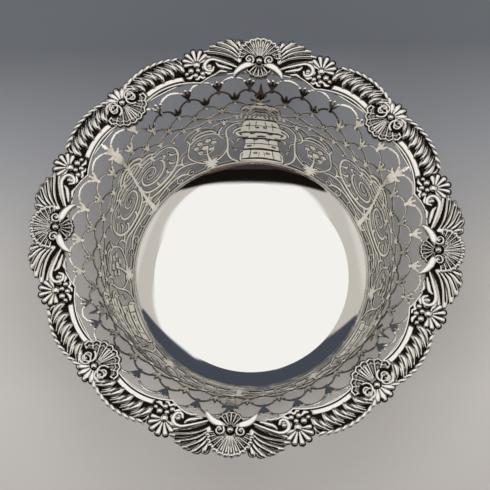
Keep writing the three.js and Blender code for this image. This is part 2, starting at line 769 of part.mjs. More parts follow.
function addPiece(name, geometry, material, turn = 0, mirrored = false) {
  const piece = new THREE.Mesh(mirrored ? mirror(geometry) : geometry, material);
  piece.name = name;
  piece.rotation.z = THREE.MathUtils.degToRad(turn);
  bowl.add(piece);
}

// The same casting for the other hand
function mirror(geometry) {
  const source = geometry.clone().scale(1, -1, 1);
  const index = Array.from(source.index.array);
  for (let k = 0; k < index.length; k += 3) {
    [index[k + 1], index[k + 2]] = [index[k + 2], index[k + 1]];
  }
  source.setIndex(index);
  return source;
}

addPiece('well_dish', wellDish(), polishedSilver);
addPiece('foot_ring', footRing(), polishedSilver);
addPiece('pierced_gallery', piercedGallery().rotateZ(THREE.MathUtils.degToRad(galleryTurn)), piercedSilver);
addPiece('rim_band', rimBand(), polishedSilver);

const shellCasting = mainShell();
const scallopCasting = minorShell();
const palmetteCasting = palmette();
const hornCasting = gadroonRun();
const sprayCasting = acanthusSpray();
for (let quarter = 0; quarter < quarters; quarter += 1) {
  const turn = quarter * 2 * octant;
  addPiece(`main_shell_${quarter + 1}`, shellCasting, castSilver, turn);
  addPiece(`minor_shell_${quarter + 1}`, scallopCasting, castSilver, turn + octant);
  for (const [hand, side] of [['left', 1], ['right', -1]]) {
    const mirrored = side < 0;
    const number = `${hand}_${quarter + 1}`;
    addPiece(`palmette_${number}`, palmetteCasting, castSilver, turn + side * palmetteAngle, mirrored);
    addPiece(`gadroon_run_${number}`, hornCasting, castSilver, turn, mirrored);
    addPiece(`acanthus_spray_${number}`, sprayCasting, castSilver, turn, mirrored);
  }
}

export default bowl;
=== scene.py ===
# %% [markdown]
# A pierced silver centrepiece bowl
# The bowl stands on a low foot. A polished well is soldered to a wall that was sawn out by hand, and
# the wall's lip carries a flat band with a cast border of shells, leaves and gadroons. The packed
# model gives each piece its place, and every piece here is made anew over its node, in metres.

import math

import bpy
import numpy as np
from mathutils import Matrix, Vector


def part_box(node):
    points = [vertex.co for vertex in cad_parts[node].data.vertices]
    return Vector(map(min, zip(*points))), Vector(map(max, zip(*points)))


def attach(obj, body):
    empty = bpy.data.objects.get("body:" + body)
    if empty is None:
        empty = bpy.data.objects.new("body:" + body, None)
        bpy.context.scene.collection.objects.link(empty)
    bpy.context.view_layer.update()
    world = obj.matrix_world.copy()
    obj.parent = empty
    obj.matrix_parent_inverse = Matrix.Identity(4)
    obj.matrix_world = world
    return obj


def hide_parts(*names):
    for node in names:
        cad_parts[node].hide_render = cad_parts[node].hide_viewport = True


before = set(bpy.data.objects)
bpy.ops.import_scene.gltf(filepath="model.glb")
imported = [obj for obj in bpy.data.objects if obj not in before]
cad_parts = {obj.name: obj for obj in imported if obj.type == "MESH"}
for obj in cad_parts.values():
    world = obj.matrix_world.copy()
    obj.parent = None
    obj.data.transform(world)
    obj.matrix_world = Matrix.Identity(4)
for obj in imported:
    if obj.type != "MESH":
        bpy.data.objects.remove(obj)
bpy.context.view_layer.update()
MM = 0.001

# %% [markdown]
# Sizes come from the nodes wherever they can. The bead circle is the circle that runs through the
# middle of the cast border: reaches of the border are measured from it, outward and inward.

# %% Driving sizes in millimetres
BEAD_CIRCLE = 123.0
SHEET = 1.2
SEAM = 0.3
LIP_INSET = 0.35
LIP = {"radius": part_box("pierced_gallery")[1].x / MM - LIP_INSET, "height": 99.6}
CAST_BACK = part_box("main_shell_1")[0].z / MM
BAND_TOP = CAST_BACK - SEAM
BAND_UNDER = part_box("rim_band")[0].z / MM
WALL_FOOT = {"radius": 82.0, "height": 17.3}
FLOOR_TOP, FLOOR_RADIUS = 10.5, 67.8
FOOT_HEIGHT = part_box("foot_ring")[1].z / MM
print("lip", LIP, "band", BAND_UNDER, BAND_TOP, "foot", FOOT_HEIGHT)


# %% [markdown]
# One helper adds a shader node with its settings and its links. A value that starts with a socket of
# another node is linked, and any other value is typed into the socket. Colours are written as sRGB
# hex values, and one function turns them to the linear values that Blender's shaders use.

# %% Shader helpers
def linear(code):
    parts = [int(code[i:i + 2], 16) / 255 for i in (1, 3, 5)]
    return [c / 12.92 if c <= 0.04045 else ((c + 0.055) / 1.055) ** 2.4 for c in parts] + [1.0]


def add(tree, kind, inputs=None, **settings):
    node = tree.nodes.new(kind)
    for key, value in settings.items():
        setattr(node, key, value)
    for key, value in (inputs or {}).items():
        if isinstance(value, bpy.types.NodeSocket):
            tree.links.new(value, node.inputs[key])
        else:
            node.inputs[key].default_value = value
    return node


def ramp(tree, factor, *stops):
    node = add(tree, "ShaderNodeValToRGB", {"Fac": factor})
    while len(node.color_ramp.elements) < len(stops):
        node.color_ramp.elements.new(0.5)
    for element, (place, code) in zip(node.color_ramp.elements, stops):
        element.position = place
        element.color = linear(code)
    return node.outputs["Color"]


def new_material(name):
    material = bpy.data.materials.new(name)
    material.use_nodes = True
    material.node_tree.nodes.clear()
    return material, material.node_tree


# %% [markdown]
# The real metal is sterling silver: 925 parts of silver and 75 of copper, a metal that reflects
# about nine tenths of the light and has a slightly warm white. What tells the three finishes apart
# is how the surface was made. The well was raised and buffed to a mirror, with wipe marks from
# polishing cloths. The wall was sawn and filed, so its faces are bright, and its edges carry a painted
# shade. Low down, where no cloth reaches, it keeps the white bloom that pickling in acid leaves, which
# is matt and takes the light of the lamps. The border was cast and chased, and tarnish was left in its
# recesses, which makes the relief read. A painted map could hold that tarnish, but here each mesh
# carries an attribute named recess: 0 on a crest and 1 in the bottom of a recess. The same attribute
# also carries painted shade: along the rims of the wall's openings, and on the rim band round the
# moulding, at the foot of the rib and beneath the castings.

# %% Sterling silver in three finishes
BRIGHT_TO, DARK_FROM = 0.18, 0.78
MOTTLE = 0.35
BLOOM_MATT, BLOOM_ROUGHER = 0.75, 0.25


def multiply_add(tree, *values):
    return add(tree, "ShaderNodeMath", dict(enumerate(values)), operation="MULTIPLY_ADD").outputs[0]


def sterling(name, bright, dark, rough, recess_rough, mark_mm, mark_depth, mottle_mm, bloom=None):
    """bloom holds two heights in millimetres: the white is full below the first and ends at the second."""
    material, tree = new_material(name)
    place = add(tree, "ShaderNodeTexCoord").outputs["Object"]
    recess = add(tree, "ShaderNodeAttribute", attribute_name="recess").outputs["Fac"]
    mottle = add(tree, "ShaderNodeTexNoise", {
        "Vector": place, "Scale": 1 / (mottle_mm * MM), "Detail": 3.0, "Roughness": 0.6,
    }).outputs["Fac"]
    uneven = add(tree, "ShaderNodeMath", {0: mottle, 1: 0.5}, operation="SUBTRACT").outputs[0]
    depth = multiply_add(tree, uneven, MOTTLE, recess)
    tone = ramp(tree, depth, (BRIGHT_TO, bright), (DARK_FROM, dark))
    polish = add(tree, "ShaderNodeMapRange", {
        "Value": depth, "From Min": 0.1, "From Max": 0.9, "To Min": rough, "To Max": recess_rough,
    }).outputs["Result"]
    along = add(tree, "ShaderNodeMapping", {
        "Vector": place, "Scale": (1.0, 0.06, 1.0), "Rotation": (0.3, 0.2, 0.9),
    }).outputs[0]
    marks = add(tree, "ShaderNodeTexNoise", {
        "Vector": along, "Scale": 1 / (mark_mm * MM), "Detail": 2.0, "Roughness": 0.55,
    }).outputs["Fac"]
    bump = add(tree, "ShaderNodeBump", {"Height": marks, "Distance": mark_depth * MM, "Strength": 1.0})
    metallic = 1.0
    if bloom:
        height = add(tree, "ShaderNodeSeparateXYZ", {"Vector": place}).outputs[2]
        low, high = [level * MM for level in bloom]
        white = add(tree, "ShaderNodeMapRange", {
            "Value": height, "From Min": low, "From Max": high, "To Min": 1.0, "To Max": 0.0,
        }).outputs["Result"]
        metallic = multiply_add(tree, white, -BLOOM_MATT, 1.0)
        polish = multiply_add(tree, white, BLOOM_ROUGHER, polish)
    shader = add(tree, "ShaderNodeBsdfPrincipled", {
        "Base Color": tone, "Metallic": metallic, "Roughness": polish, "Normal": bump.outputs[0],
    })
    add(tree, "ShaderNodeOutputMaterial", {"Surface": shader.outputs[0]})
    return material


buffed = sterling("buffed sterling silver", "#F3F1EC", "#8C857C", rough=0.045, recess_rough=0.2,
                  mark_mm=1.1, mark_depth=0.0022, mottle_mm=30)
# Through its recess attribute the sawn finish also shows the painted shade on the rims of the wall's openings
sawn = sterling("sawn and filed sterling silver", "#F6F1E6", "#1E1915", rough=0.12, recess_rough=0.5,
                mark_mm=0.9, mark_depth=0.01, mottle_mm=9, bloom=(66, 88))
# Through its recess attribute the cast finish also shows the painted shade of the rim band
cast = sterling("cast and chased sterling silver with tarnish in its recesses", "#F3EFE7", "#2A221E",
                rough=0.2, recess_rough=0.55, mark_mm=0.5, mark_depth=0.02, mottle_mm=3)
print("finishes", buffed.name, sawn.name, cast.name)


# %% [markdown]
# Turned pieces are a section that goes once round the axis. The same helper also takes a section
# that changes with the angle, which is how the band gets its bowed inner edge.

# %% Turned and swept rings
def new_piece(name, points, faces, material, recess, crease):
    mesh = bpy.data.meshes.new(name)
    mesh.from_pydata(np.asarray(points, float).tolist(), [], np.asarray(faces).tolist())
    mesh.shade_smooth()
    mesh.set_sharp_from_angle(angle=math.radians(crease))
    mesh.materials.append(material)
    attribute = mesh.attributes.new("recess", "FLOAT", "POINT")
    attribute.data.foreach_set("value", np.asarray(recess, np.float32))
    piece = bpy.data.objects.new(name, mesh)
    bpy.context.scene.collection.objects.link(piece)
    return piece


def seat(piece, slot, *nodes):
    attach(piece, "root")
    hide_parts(*nodes)
    print(piece.name, len(piece.data.polygons), "faces")


def swept_ring(name, angles, sections, material, recess, crease=40):
    """sections[i] is the closed section at angles[i], as rows of radius and height in millimetres."""
    turns, count = sections.shape[:2]
    a = np.radians(angles)[:, None]
    r, z = sections[..., 0], sections[..., 1]
    points = np.stack([r * np.cos(a), r * np.sin(a), z], -1).reshape(-1, 3) * MM
    i, j = np.meshgrid(np.arange(turns), np.arange(count), indexing="ij")
    i2, j2 = (i + 1) % turns, (j + 1) % count
    faces = np.stack([i * count + j, i2 * count + j, i2 * count + j2, i * count + j2], -1).reshape(-1, 4)
    return new_piece(name, points, faces, material, recess, crease)


def bezier(points, steps):
    t = np.linspace(0, 1, steps)[:, None]
    degree = len(points) - 1
    return sum(math.comb(degree, k) * (1 - t) ** (degree - k) * t ** k * np.array(p, float)
               for k, p in enumerate(points))


# %% [markdown]
# The wall's inner face is one profile: a flare under the lip, a throat and a long side that swells a
# little on its way down. The well's corner carries the same line on into the flat floor.

# %% The profile of the wall
FLARE_REACH, FLARE_DROP = 19.5, 16.7
FLARE_BOW, FLARE_RISE = 5.0, 13.4
THROAT_SWELL, FOOT_SWELL = 2.9, 11
lip = (LIP["radius"], LIP["height"])
throat = (LIP["radius"] - FLARE_REACH, LIP["height"] - FLARE_DROP)
wall_foot = (WALL_FOOT["radius"], WALL_FOOT["height"])
wall_drop = throat[1] - wall_foot[1]
flare = bezier([lip, (throat[0] + FLARE_BOW, throat[1] + FLARE_RISE), throat], 80)
side = bezier([throat, (throat[0] - THROAT_SWELL, throat[1] - 0.23 * wall_drop),
               (wall_foot[0] + FOOT_SWELL, wall_foot[1] + 0.28 * wall_drop), wall_foot], 200)
wall = np.vstack([flare, side[1:]])
wall_along = np.concatenate([[0], np.cumsum(np.hypot(*np.diff(wall, axis=0).T))])
WALL_LENGTH = wall_along[-1]
wall_slope = np.gradient(wall, wall_along, axis=0)


def wall_point(angle, along, out):
    """A point of the wall: along runs down from the lip, out goes through the sheet."""
    along = np.clip(along, 0, WALL_LENGTH)
    r, z = [np.interp(along, wall_along, wall[:, k]) for k in (0, 1)]
    dr, dz = [np.interp(along, wall_along, wall_slope[:, k]) for k in (0, 1)]
    r, z = r - dz * out, z + dr * out
    return np.stack([r * np.cos(angle), r * np.sin(angle), z], -1) * MM


print("wall profile", round(WALL_LENGTH, 1), "mm long")

# %% [markdown]
# The well is a disc of sheet that was hammered up at its edge. It could be a cylinder with a bevel,
# but a turned section keeps the corner's curve true, and a mirror finish shows every flat spot. The
# floor meets the corner in a soft crease, where the slope jumps to 17 degrees. That jump is what
# draws the clear line round the white floor.

# %% The polished well
CREASE = math.tan(math.radians(17))
INNERMOST, FLOOR_RINGS = 0.02, 24
corner_end = wall[-1] + wall_slope[-1] * SEAM
above_crease = FLOOR_TOP + CREASE * (corner_end[0] - FLOOR_RADIUS) - corner_end[1]
run = above_crease / (wall_slope[-1][1] - CREASE * wall_slope[-1][0])
corner = bezier([corner_end, corner_end + wall_slope[-1] * run, (FLOOR_RADIUS, FLOOR_TOP)], 40)
floor_radii = np.linspace(FLOOR_RADIUS, INNERMOST, FLOOR_RINGS)[1:]
inner = np.vstack([corner, np.stack([floor_radii, np.full_like(floor_radii, FLOOR_TOP)], -1)])
tangent = np.gradient(inner, axis=0)
tangent /= np.hypot(*tangent.T)[:, None]
outer = inner + np.stack([-tangent[:, 1], tangent[:, 0]], -1) * SHEET
outer[:, 1] = np.maximum(outer[:, 1], FLOOR_TOP - SHEET)
section = np.vstack([inner, outer[::-1]])
turn = np.arange(0, 360, 1.25)
well = swept_ring("well", turn, np.repeat(section[None], len(turn), 0), buffed,
                  np.zeros(len(turn) * len(section)))
seat(well, "polished_silver", "well_dish")

# %% [markdown]
# The foot is not in the photograph, so it is the plain collet foot that such bowls have: a ring that
# flares from a narrow neck to a rounded tread. Three curves follow one another round its section.

# %% The collet foot
foot_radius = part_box("foot_ring")[1].x / MM
neck = FLOOR_RADIUS - 5
inner_neck = neck - 1.6
outer_side = bezier([(neck, FOOT_HEIGHT), (neck, 4.5), (foot_radius - 1.4, 3.4),
                     (foot_radius - 0.5, 2.3)], 14)
tread = bezier([(foot_radius - 0.5, 2.3), (foot_radius + 0.5, 1.2), (foot_radius - 0.2, 0.2),
                (foot_radius - 1.4, 0)], 10)
inner_side = bezier([(foot_radius - 4.0, 0), (neck - 2.4, 1.6), (inner_neck, 5),
                     (inner_neck, FOOT_HEIGHT)], 14)
section = np.vstack([outer_side, tread[1:], inner_side])
foot = swept_ring("collet_foot", turn, np.repeat(section[None], len(turn), 0), buffed,
                  np.zeros(len(turn) * len(section)))
seat(foot, "polished_silver", "foot_ring")


# %% [markdown]
# Sawn and cast silver are drawn flat first, as the maker does. A board is a fine grid that keeps two
# numbers for each point: how far it lies outside the metal, and how high the metal stands there. A
# stroke is a curve through a few points, each with its half-width and the height of its crest, and
# it has a rounded top like a chased rib. Only the metal's part of the grid becomes faces, and the
# points at its edge slide onto the true outline, which keeps every edge smooth. A subdivided cage
# would do for one leaf, but not for a wall with hundreds of openings.

# %% A board for flat drawings
FAR_OUTSIDE = 4.0
MARGIN = 1.2
STRETCH = 2.5
THINNEST = 0.3


def curve(rows, step):
    """A smooth curve through rows of (x, y, half-width, crest), with points about a step apart."""
    rows = np.array(rows, float)
    if len(rows) == 1:
        return np.vstack([rows, rows])
    ends = np.vstack([2 * rows[0] - rows[1], rows, 2 * rows[-1] - rows[-2]])
    out = []
    for p0, p1, p2, p3 in zip(ends, ends[1:], ends[2:], ends[3:]):
        n = max(2, int(np.ceil(np.hypot(*(p2 - p1)[:2]) / step)))
        t = np.linspace(0, 1, n, endpoint=False)[:, None]
        out.append(0.5 * (2 * p1 + (p2 - p0) * t + (2 * p0 - 5 * p1 + 4 * p2 - p3) * t ** 2
                          + (3 * p1 - p0 - 3 * p2 + p3) * t ** 3))
    out.append(rows[-1:])
    return np.vstack(out)


class Board:
    def __init__(self, x0, x1, y0, y1, step, unit=None):
        """unit(y) is the length in millimetres of one unit of x, for boards drawn in degrees."""
        self.step = step
        self.unit = unit or (lambda y: np.ones_like(y))
        middle = float(self.unit(np.array([(y0 + y1) / 2]))[0])
        self.x = np.linspace(x0, x1, int(round((x1 - x0) * middle / step)) + 1)
        self.y = np.linspace(y0, y1, int(round((y1 - y0) / step)) + 1)
        self.outside = np.full((len(self.x), len(self.y)), FAR_OUTSIDE)
        self.height = np.zeros((len(self.x), len(self.y)))

    def window(self, x, y, reach):
        wide = reach / float(self.unit(np.array([y]))[0])
        i = slice(*np.searchsorted(self.x, [x - wide, x + wide]))
        j = slice(*np.searchsorted(self.y, [y - reach, y + reach]))
        return i, j

    def near(self, rows, step):
        """Yields a window of the grid, and each point's distance from a stretch of the curve there."""
        path = curve(rows, step)
        for a, b in zip(path[:-1], path[1:]):
            mid = (a + b) / 2
            k = float(self.unit(np.array([mid[1]]))[0])
            length = math.hypot((b[0] - a[0]) * k, b[1] - a[1])
            half = max(a[2], b[2])
            i, j = self.window(mid[0], mid[1], length / 2 + half + MARGIN)
            if i.start == i.stop or j.start == j.stop:
                continue
            dx = (self.x[i, None] - a[0]) * k
            dy = self.y[None, j] - a[1]
            bx, by = (b[0] - a[0]) * k, b[1] - a[1]
            t = np.clip((dx * bx + dy * by) / max(length ** 2, 1e-9), 0, 1)
            half_here, crest_here = a[2] + (b[2] - a[2]) * t, a[3] + (b[3] - a[3]) * t
            yield (i, j), np.hypot(dx - t * bx, dy - t * by), half_here, crest_here

    def raise_(self, *rows, dome=0.9):
        """Metal along the curve, with its crest in the middle and its edges lower by dome half-widths."""
        for at, far, half, crest in self.near(rows, STRETCH * self.step):
            self.outside[at] = np.minimum(self.outside[at], far - half)
            share = np.clip(far / np.maximum(half, 1e-6), 0, 1)
            lift = crest - dome * half * (1 - np.sqrt(1 - share ** 2))
            self.height[at] = np.where(far < half, np.maximum(self.height[at], lift), self.height[at])

    def level(self, x, y, radius, height):
        """A round place brought to one height, for what is set on it."""
        for at, far, _, _ in self.near([(x, y, radius, height)], self.step):
            self.outside[at] = np.minimum(self.outside[at], far - radius)
            self.height[at] = np.where(far < radius, height, self.height[at])

    def groove(self, *rows, depth):
        """An engraved line, which takes height away and pierces nothing."""
        cut = np.zeros_like(self.height)
        for at, far, half, _ in self.near(rows, STRETCH * self.step):
            share = np.clip(far / np.maximum(half, 1e-6), 0, 1)
            cut[at] = np.maximum(cut[at], depth * (1 - share ** 2))
        self.height = np.maximum(self.height - cut, THINNEST)

    def saw(self, *rows):
        """An opening along the curve."""
        for at, far, half, _ in self.near(rows, STRETCH * self.step):
            self.outside[at] = np.maximum(self.outside[at], half - far)

    def both(self, *rows, dome=0.9):
        """Metal along the curve, and along its mirror image on the other side of the middle line."""
        self.raise_(*rows, dome=dome)
        self.raise_(*[(-x, *rest) for x, *rest in rows], dome=dome)


def arc(centre, radii, turns, halves, crests, steps):
    """Rows of a spiral or an arc: radii, turns (degrees), halves and crests are each (from, to)."""
    t = np.linspace(0, 1, steps)
    r, a, half, crest = [v[0] + (v[1] - v[0]) * t for v in (radii, np.radians(turns), halves, crests)]
    return list(zip(centre[0] + r * np.cos(a), centre[1] + r * np.sin(a), half, crest))


# %% [markdown]
# The recess value is the height of the metal around a point, less its own height: tarnish stays
# where a cloth doesn't reach. The board is blurred with a running mean for that.

# %% From a board to a mesh
EVEN_SHADE, BACK_SHADE = 0.15, 0.25
FARTHEST_SLIDE = 0.7
FLATTEST = 0.3
SHEET_CREASE = 50


def running_mean(values, weight, reach):
    for axis in (0, 1):
        pads = [(reach, reach) if k == axis else (0, 0) for k in (0, 1)]
        sums = []
        for array in (values, weight):
            total = np.cumsum(np.pad(array, pads), axis)
            first = np.take(total, [0], axis) * 0
            total = np.concatenate([first, total], axis)
            low = np.arange(array.shape[axis])
            sums.append(np.take(total, low + 2 * reach + 1, axis) - np.take(total, low, axis))
        values, weight = sums
    return values / np.maximum(weight, 1e-6)


def recess_of(board, reach_mm, depth):
    """Recess of each point: 1 where the metal around it stands higher by depth."""
    metal = (board.outside < 0).astype(float)
    around = running_mean(board.height * metal, metal, max(1, int(reach_mm / board.step)))
    return np.clip((around - board.height) / depth + EVEN_SHADE, 0, 1)


def cut_sheet(name, board, front, back, material, recess, wraps=False):
    """Faces for the metal of the board. front and back place points of it in the bowl, in metres."""
    outside, height = board.outside, board.height.copy()
    nx, ny = outside.shape
    last = nx if wraps else nx - 1
    left = np.arange(last)
    right = (left + 1) % nx
    quad = outside[left, :-1] + outside[right, :-1] + outside[left, 1:] + outside[right, 1:]
    kept = quad < 0
    used, edge = np.zeros((nx, ny), bool), np.zeros((nx, ny), bool)
    for cells, marks in ((kept, used), (~kept, edge)):
        for i in (left, right):
            for j in (slice(0, ny - 1), slice(1, ny)):
                np.logical_or.at(marks, (i[:, None], np.arange(ny)[j][None]), cells)
    around = [np.roll(np.where(outside < 0, height, 0), shift, axis) for axis in (0, 1) for shift in (-1, 1)]
    height = np.where(outside >= 0, np.max(around, axis=0), height)
    unit = board.unit(board.y)[None]
    gx = np.gradient(outside, board.x, axis=0) / unit
    gy = np.gradient(outside, board.y, axis=1)
    sliding = used & edge & (abs(outside) < board.step)
    move = np.where(sliding, -outside / np.maximum(gx ** 2 + gy ** 2, FLATTEST), 0)
    limit = FARTHEST_SLIDE * board.step
    x = board.x[:, None] + np.clip(move * gx, -limit, limit) / unit
    y = board.y[None] + np.clip(move * gy, -limit, limit)
    index = np.cumsum(used).reshape(used.shape) - 1
    count = int(used.sum())
    points = np.vstack([front(x[used], y[used], height[used]), back(x[used], y[used], height[used])])
    a, b = index[left, :-1], index[right, :-1]
    c, d = index[right, 1:], index[left, 1:]
    faces = [np.stack([a, b, c, d], -1)[kept], np.stack([a, d, c, b], -1)[kept] + count]
    empty_row, empty_column = np.zeros((1, ny - 1), bool), np.zeros((last, 1), bool)
    west = np.roll(kept, 1, 0) if wraps else np.vstack([empty_row, kept[:-1]])
    east = np.roll(kept, -1, 0) if wraps else np.vstack([kept[1:], empty_row])
    south = np.hstack([empty_column, kept[:, :-1]])
    north = np.hstack([kept[:, 1:], empty_column])
    for beside, p, q in ((south, a, b), (east, b, c), (north, c, d), (west, d, a)):
        bare = kept & ~beside
        faces.append(np.stack([q, p, p + count, q + count], -1)[bare])
    faces = np.vstack(faces)
    shade = np.concatenate([recess[used], np.full(count, BACK_SHADE)])
    corners = points[faces]
    volume = np.einsum("ij,ij->i", corners[:, 0], np.cross(corners[:, 1], corners[:, 2])).sum()
    return new_piece(name, points, faces if volume > 0 else faces[:, ::-1], material, shade, SHEET_CREASE)


# %% [markdown]
# The wall repeats three times round, and each repeat is the mirror of itself about the cartouche in
# its middle. So only 60 degrees are drawn, in degrees from the cartouche and millimetres down the
# wall. The upper part is a trellis of fish scales: every arch springs from two knots and carries the
# next row's trefoil on its crown. A see-through texture would be quicker, but it has no cut edges,
# and those are what tells the eye that this wall was sawn.

# %% The trellis of fish scales
HALF_REPEAT = 60.0
WALL_STEP = 0.42
unit_at = lambda along: np.radians(1) * np.interp(along, wall_along, wall[:, 0])
gallery = Board(0, HALF_REPEAT, 0, WALL_LENGTH, WALL_STEP, unit_at)
rows_at = [3.0, 11.7, 21.0, 29.7, 38.0, 44.3, 51.0]
odd_knots = [-4, 4, 15.2, 26.4, 37.6, 48.8, 60, 71.2]
even_knots = [-9.6, 0, 9.6, 20.8, 32, 43.2, 54.4, 65.6]
FIRST_RIB, RIB = 0.72, 0.52
FULL_ROWS = 3
CREST_ENDS, MEDALLION_ENDS, CANOPY_STARTS = 7, 33, 50
PETALS = ((0, 7.2), (-3.1, 6.2), (3.1, 6.2))
FIRST_DEGREE, LAST_DEGREE = -1, HALF_REPEAT + 1


def arch(knot_a, knot_b, crown, foot, half):
    t = np.radians(np.linspace(-80, 80, 13))
    middle, reach = (knot_a + knot_b) / 2, (knot_b - knot_a) / 2
    across = middle + reach * np.sin(t) / math.sin(t[-1])
    down = crown + (foot - crown) * (1 - np.cos(t)) / (1 - math.cos(t[-1]))
    gallery.raise_(*[(u, v, half, 1.0) for u, v in zip(across, down)], dome=0.3)


def trefoil(knot, foot, size):
    """A stem with three petals, each with a rounded tip that stands a little higher."""
    k = float(unit_at(foot))
    wide = lambda mm: knot + mm * size / k
    up = lambda mm: foot - mm * size
    gallery.raise_((knot, foot + 0.3, 1.3, 1.4), (knot, up(2.4), 1.1, 1.3), dome=0.3)
    for lean, reach in PETALS:
        gallery.raise_((wide(0.1 * lean), up(1.8), 0.85, 1.3),
                       (wide(0.6 * lean), up(0.66 * reach), 1.05, 1.4),
                       (wide(lean), up(reach), 0.55, 1.3), dome=0.3)
        gallery.raise_((wide(0.9 * lean), up(0.9 * reach), 0.9, 1.9), dome=0.7)


gallery.raise_((FIRST_DEGREE, 0.0, 0.7, 1.0), (LAST_DEGREE, 0.0, 0.7, 1.0), dome=0.1)
for row in range(1, 7):
    knots = odd_knots if row % 2 else even_knots
    for a, b in zip(knots, knots[1:]):
        middle = (a + b) / 2
        beside_crest = row == 4 and middle > CREST_ENDS
        over_medallion = row > 4 and CREST_ENDS < middle < MEDALLION_ENDS
        if row <= FULL_ROWS or beside_crest or over_medallion:
            arch(a, b, rows_at[row - 1], rows_at[row], FIRST_RIB if row == 1 else RIB)
    for knot in knots:
        beside_crest = row == 4 and CREST_ENDS < knot < CANOPY_STARTS
        over_medallion = row == 5 and CREST_ENDS < knot < MEDALLION_ENDS
        if row <= FULL_ROWS or beside_crest or over_medallion:
            trefoil(knot, rows_at[row], 1.0 if row < FULL_ROWS else 0.75)
        if FULL_ROWS <= row < 6:
            gallery.raise_((knot, rows_at[row], 1.45, 1.9), dome=0.6)
print("trellis rows", len(rows_at) - 1, "knots in a row", len(odd_knots))

# %% [markdown]
# The lower zone is drawn with the same strokes. Where the real wall has flat engraved plates, a wide
# stroke with a low dome makes the plate. The strokes are drawn a third bolder than they were sawn,
# so that they still show where the wall is seen at a slant.

# %% A stroke and a plate of the wall
BOLD = 1.35
STROKE_CREST = 1.15


def draw(*rows, dome=0.35):
    """Rows of degrees, millimetres down, half-width and, where it isn't the usual one, crest."""
    bold = [(x, y, BOLD * half, *(crest or [STROKE_CREST])) for x, y, half, *crest in rows]
    gallery.raise_(*bold, dome=dome)


def plate(*rows):
    gallery.raise_(*[(*row, 1.0) for row in rows], dome=0.12)


# The hem: a plain edge, and a bright line over the solder seam
plate(*[(x, WALL_LENGTH - 0.8, 0.9) for x in (FIRST_DEGREE, LAST_DEGREE)])
draw(*[(x, WALL_LENGTH - 1.9, 0.4, 1.7) for x in (FIRST_DEGREE, LAST_DEGREE)])
print("hem at", round(WALL_LENGTH - 0.8, 1), "mm down the wall")

# %% [markdown]
# The cartouche stands in the middle of each repeat: a leaf finial over an arch with hanging crests,
# and under it a stepped panel with scrolled ears. Only one half of it is drawn.

# %% The cartouche
# Finial and the leaves at its root
draw((0, 21, 1.6), (0, 16, 1.9), (0, 12, 0.9), (0, 7.5, 0.3))
draw((0.2, 18.5, 1.0), (2.0, 15.5, 0.4))
draw((0.3, 22.5, 0.6), (3.0, 19.5, 0.45), (3.6, 18.6, 0.3))
# Arch, inner scrolls and crests
draw((0, 24.6, 0.9), (5, 24.6, 0.9), (7.2, 27.5, 0.85), (7.6, 33, 0.8), (8.0, 38, 0.8))
draw((0, 29.2, 0.5), (2.2, 28, 0.6), (4.2, 29.5, 0.7), (5.6, 33, 0.6), (4.6, 35.5, 0.6))
draw((0, 33, 0.8), (1.8, 31.5, 0.6), (3, 34.5, 0.7))
draw((5.5, 25, 0.5), (5.9, 29, 0.5), (7.4, 31, 0.4))
for across in (0.7, 2.4, 4.1, 5.8):
    draw((across, 36, 0.7), (across + 0.5, 39, 0.8))
# Panel, in three columns and a foot
plate((0, 43, 5.5), (0, 56, 5.5), (0, 66, 5.5), (0, 76, 5.2), (0, 88, 5.2))
plate((0, 43, 3.2), (4.6, 43.5, 3.2))
plate((3.4, 45, 3.4), (4.0, 58, 3.4), (3.4, 69, 3.4), (3.8, 88, 3.4))
plate((5.8, 46, 2.8), (7.2, 58, 3.0), (5.6, 69, 2.8), (6.6, 80, 2.8), (7.8, 89, 2.8))
plate((0, 91, 2.4), (9.8, 91, 1.8))
# Ears
draw((5.6, 52, 1.2), (9.2, 53, 1.1), (11.6, 57, 0.9), (12, 60.5, 0.6))
draw((7.4, 57, 1.0), (10.2, 59, 1.3), (9.6, 63, 1.1), (7.4, 64, 0.7))
draw((7.2, 68, 0.9), (10, 67, 0.8), (10.8, 70, 0.6))
draw((7.4, 83, 0.9), (9.6, 85, 0.7), (10.3, 90, 0.8))
print("metal after the cartouche", round(float((gallery.outside < 0).mean()), 3))

# %% [markdown]
# A strap runs down beside the cartouche and frames a niche with two sprigs. Next to it is the
# medallion: C-curves that meet in a tuft of leaves, round a stem with seven five-petalled blossoms.

# %% The strap and the medallion
MEDALLION, MM_PER_DEGREE = 24.5, 1.62
draw((8.2, 45.5, 0.7), (11, 46.5, 0.75), (13.6, 50, 0.75), (15, 56, 0.75), (14.9, 66, 0.8), (15.3, 75, 0.8),
     (15.8, 83, 0.8), (14.6, 89, 0.75), (11.6, 92.5, 0.7))
draw((15, 62, 0.6), (16.9, 61, 0.5), (17.6, 63, 0.5))
draw((14.9, 66, 0.6), (12.8, 70, 0.6), (13, 76, 0.4))
draw((13.2, 78, 0.4), (11.8, 80, 0.6), (12.4, 82.5, 0.4))
# C-curves and stem
draw((15.4, 76, 0.7), (17.2, 82, 0.7), (20.5, 86.5, 0.75), (24.5, 88, 0.9))
draw((33.2, 66, 0.5), (33.4, 74, 0.7), (31.2, 81, 0.7), (28, 86, 0.7), (24.5, 88, 0.9))
draw((24.2, 92, 1.6), (24.6, 86, 1.2), (25, 78, 0.7), (24.4, 70, 0.8))
draw((25, 78, 0.6), (22, 75, 0.6), (21, 66, 0.5))
draw((25, 78, 0.6), (28.4, 75, 0.6), (29.2, 66, 0.5))
draw((16.2, 48, 0.7), (17.8, 54, 0.8), (18.1, 60, 0.7), (16.4, 64, 0.6))
draw((32.2, 51, 0.7), (31.4, 57, 0.8), (32.4, 63, 0.8), (33.2, 68, 0.6))
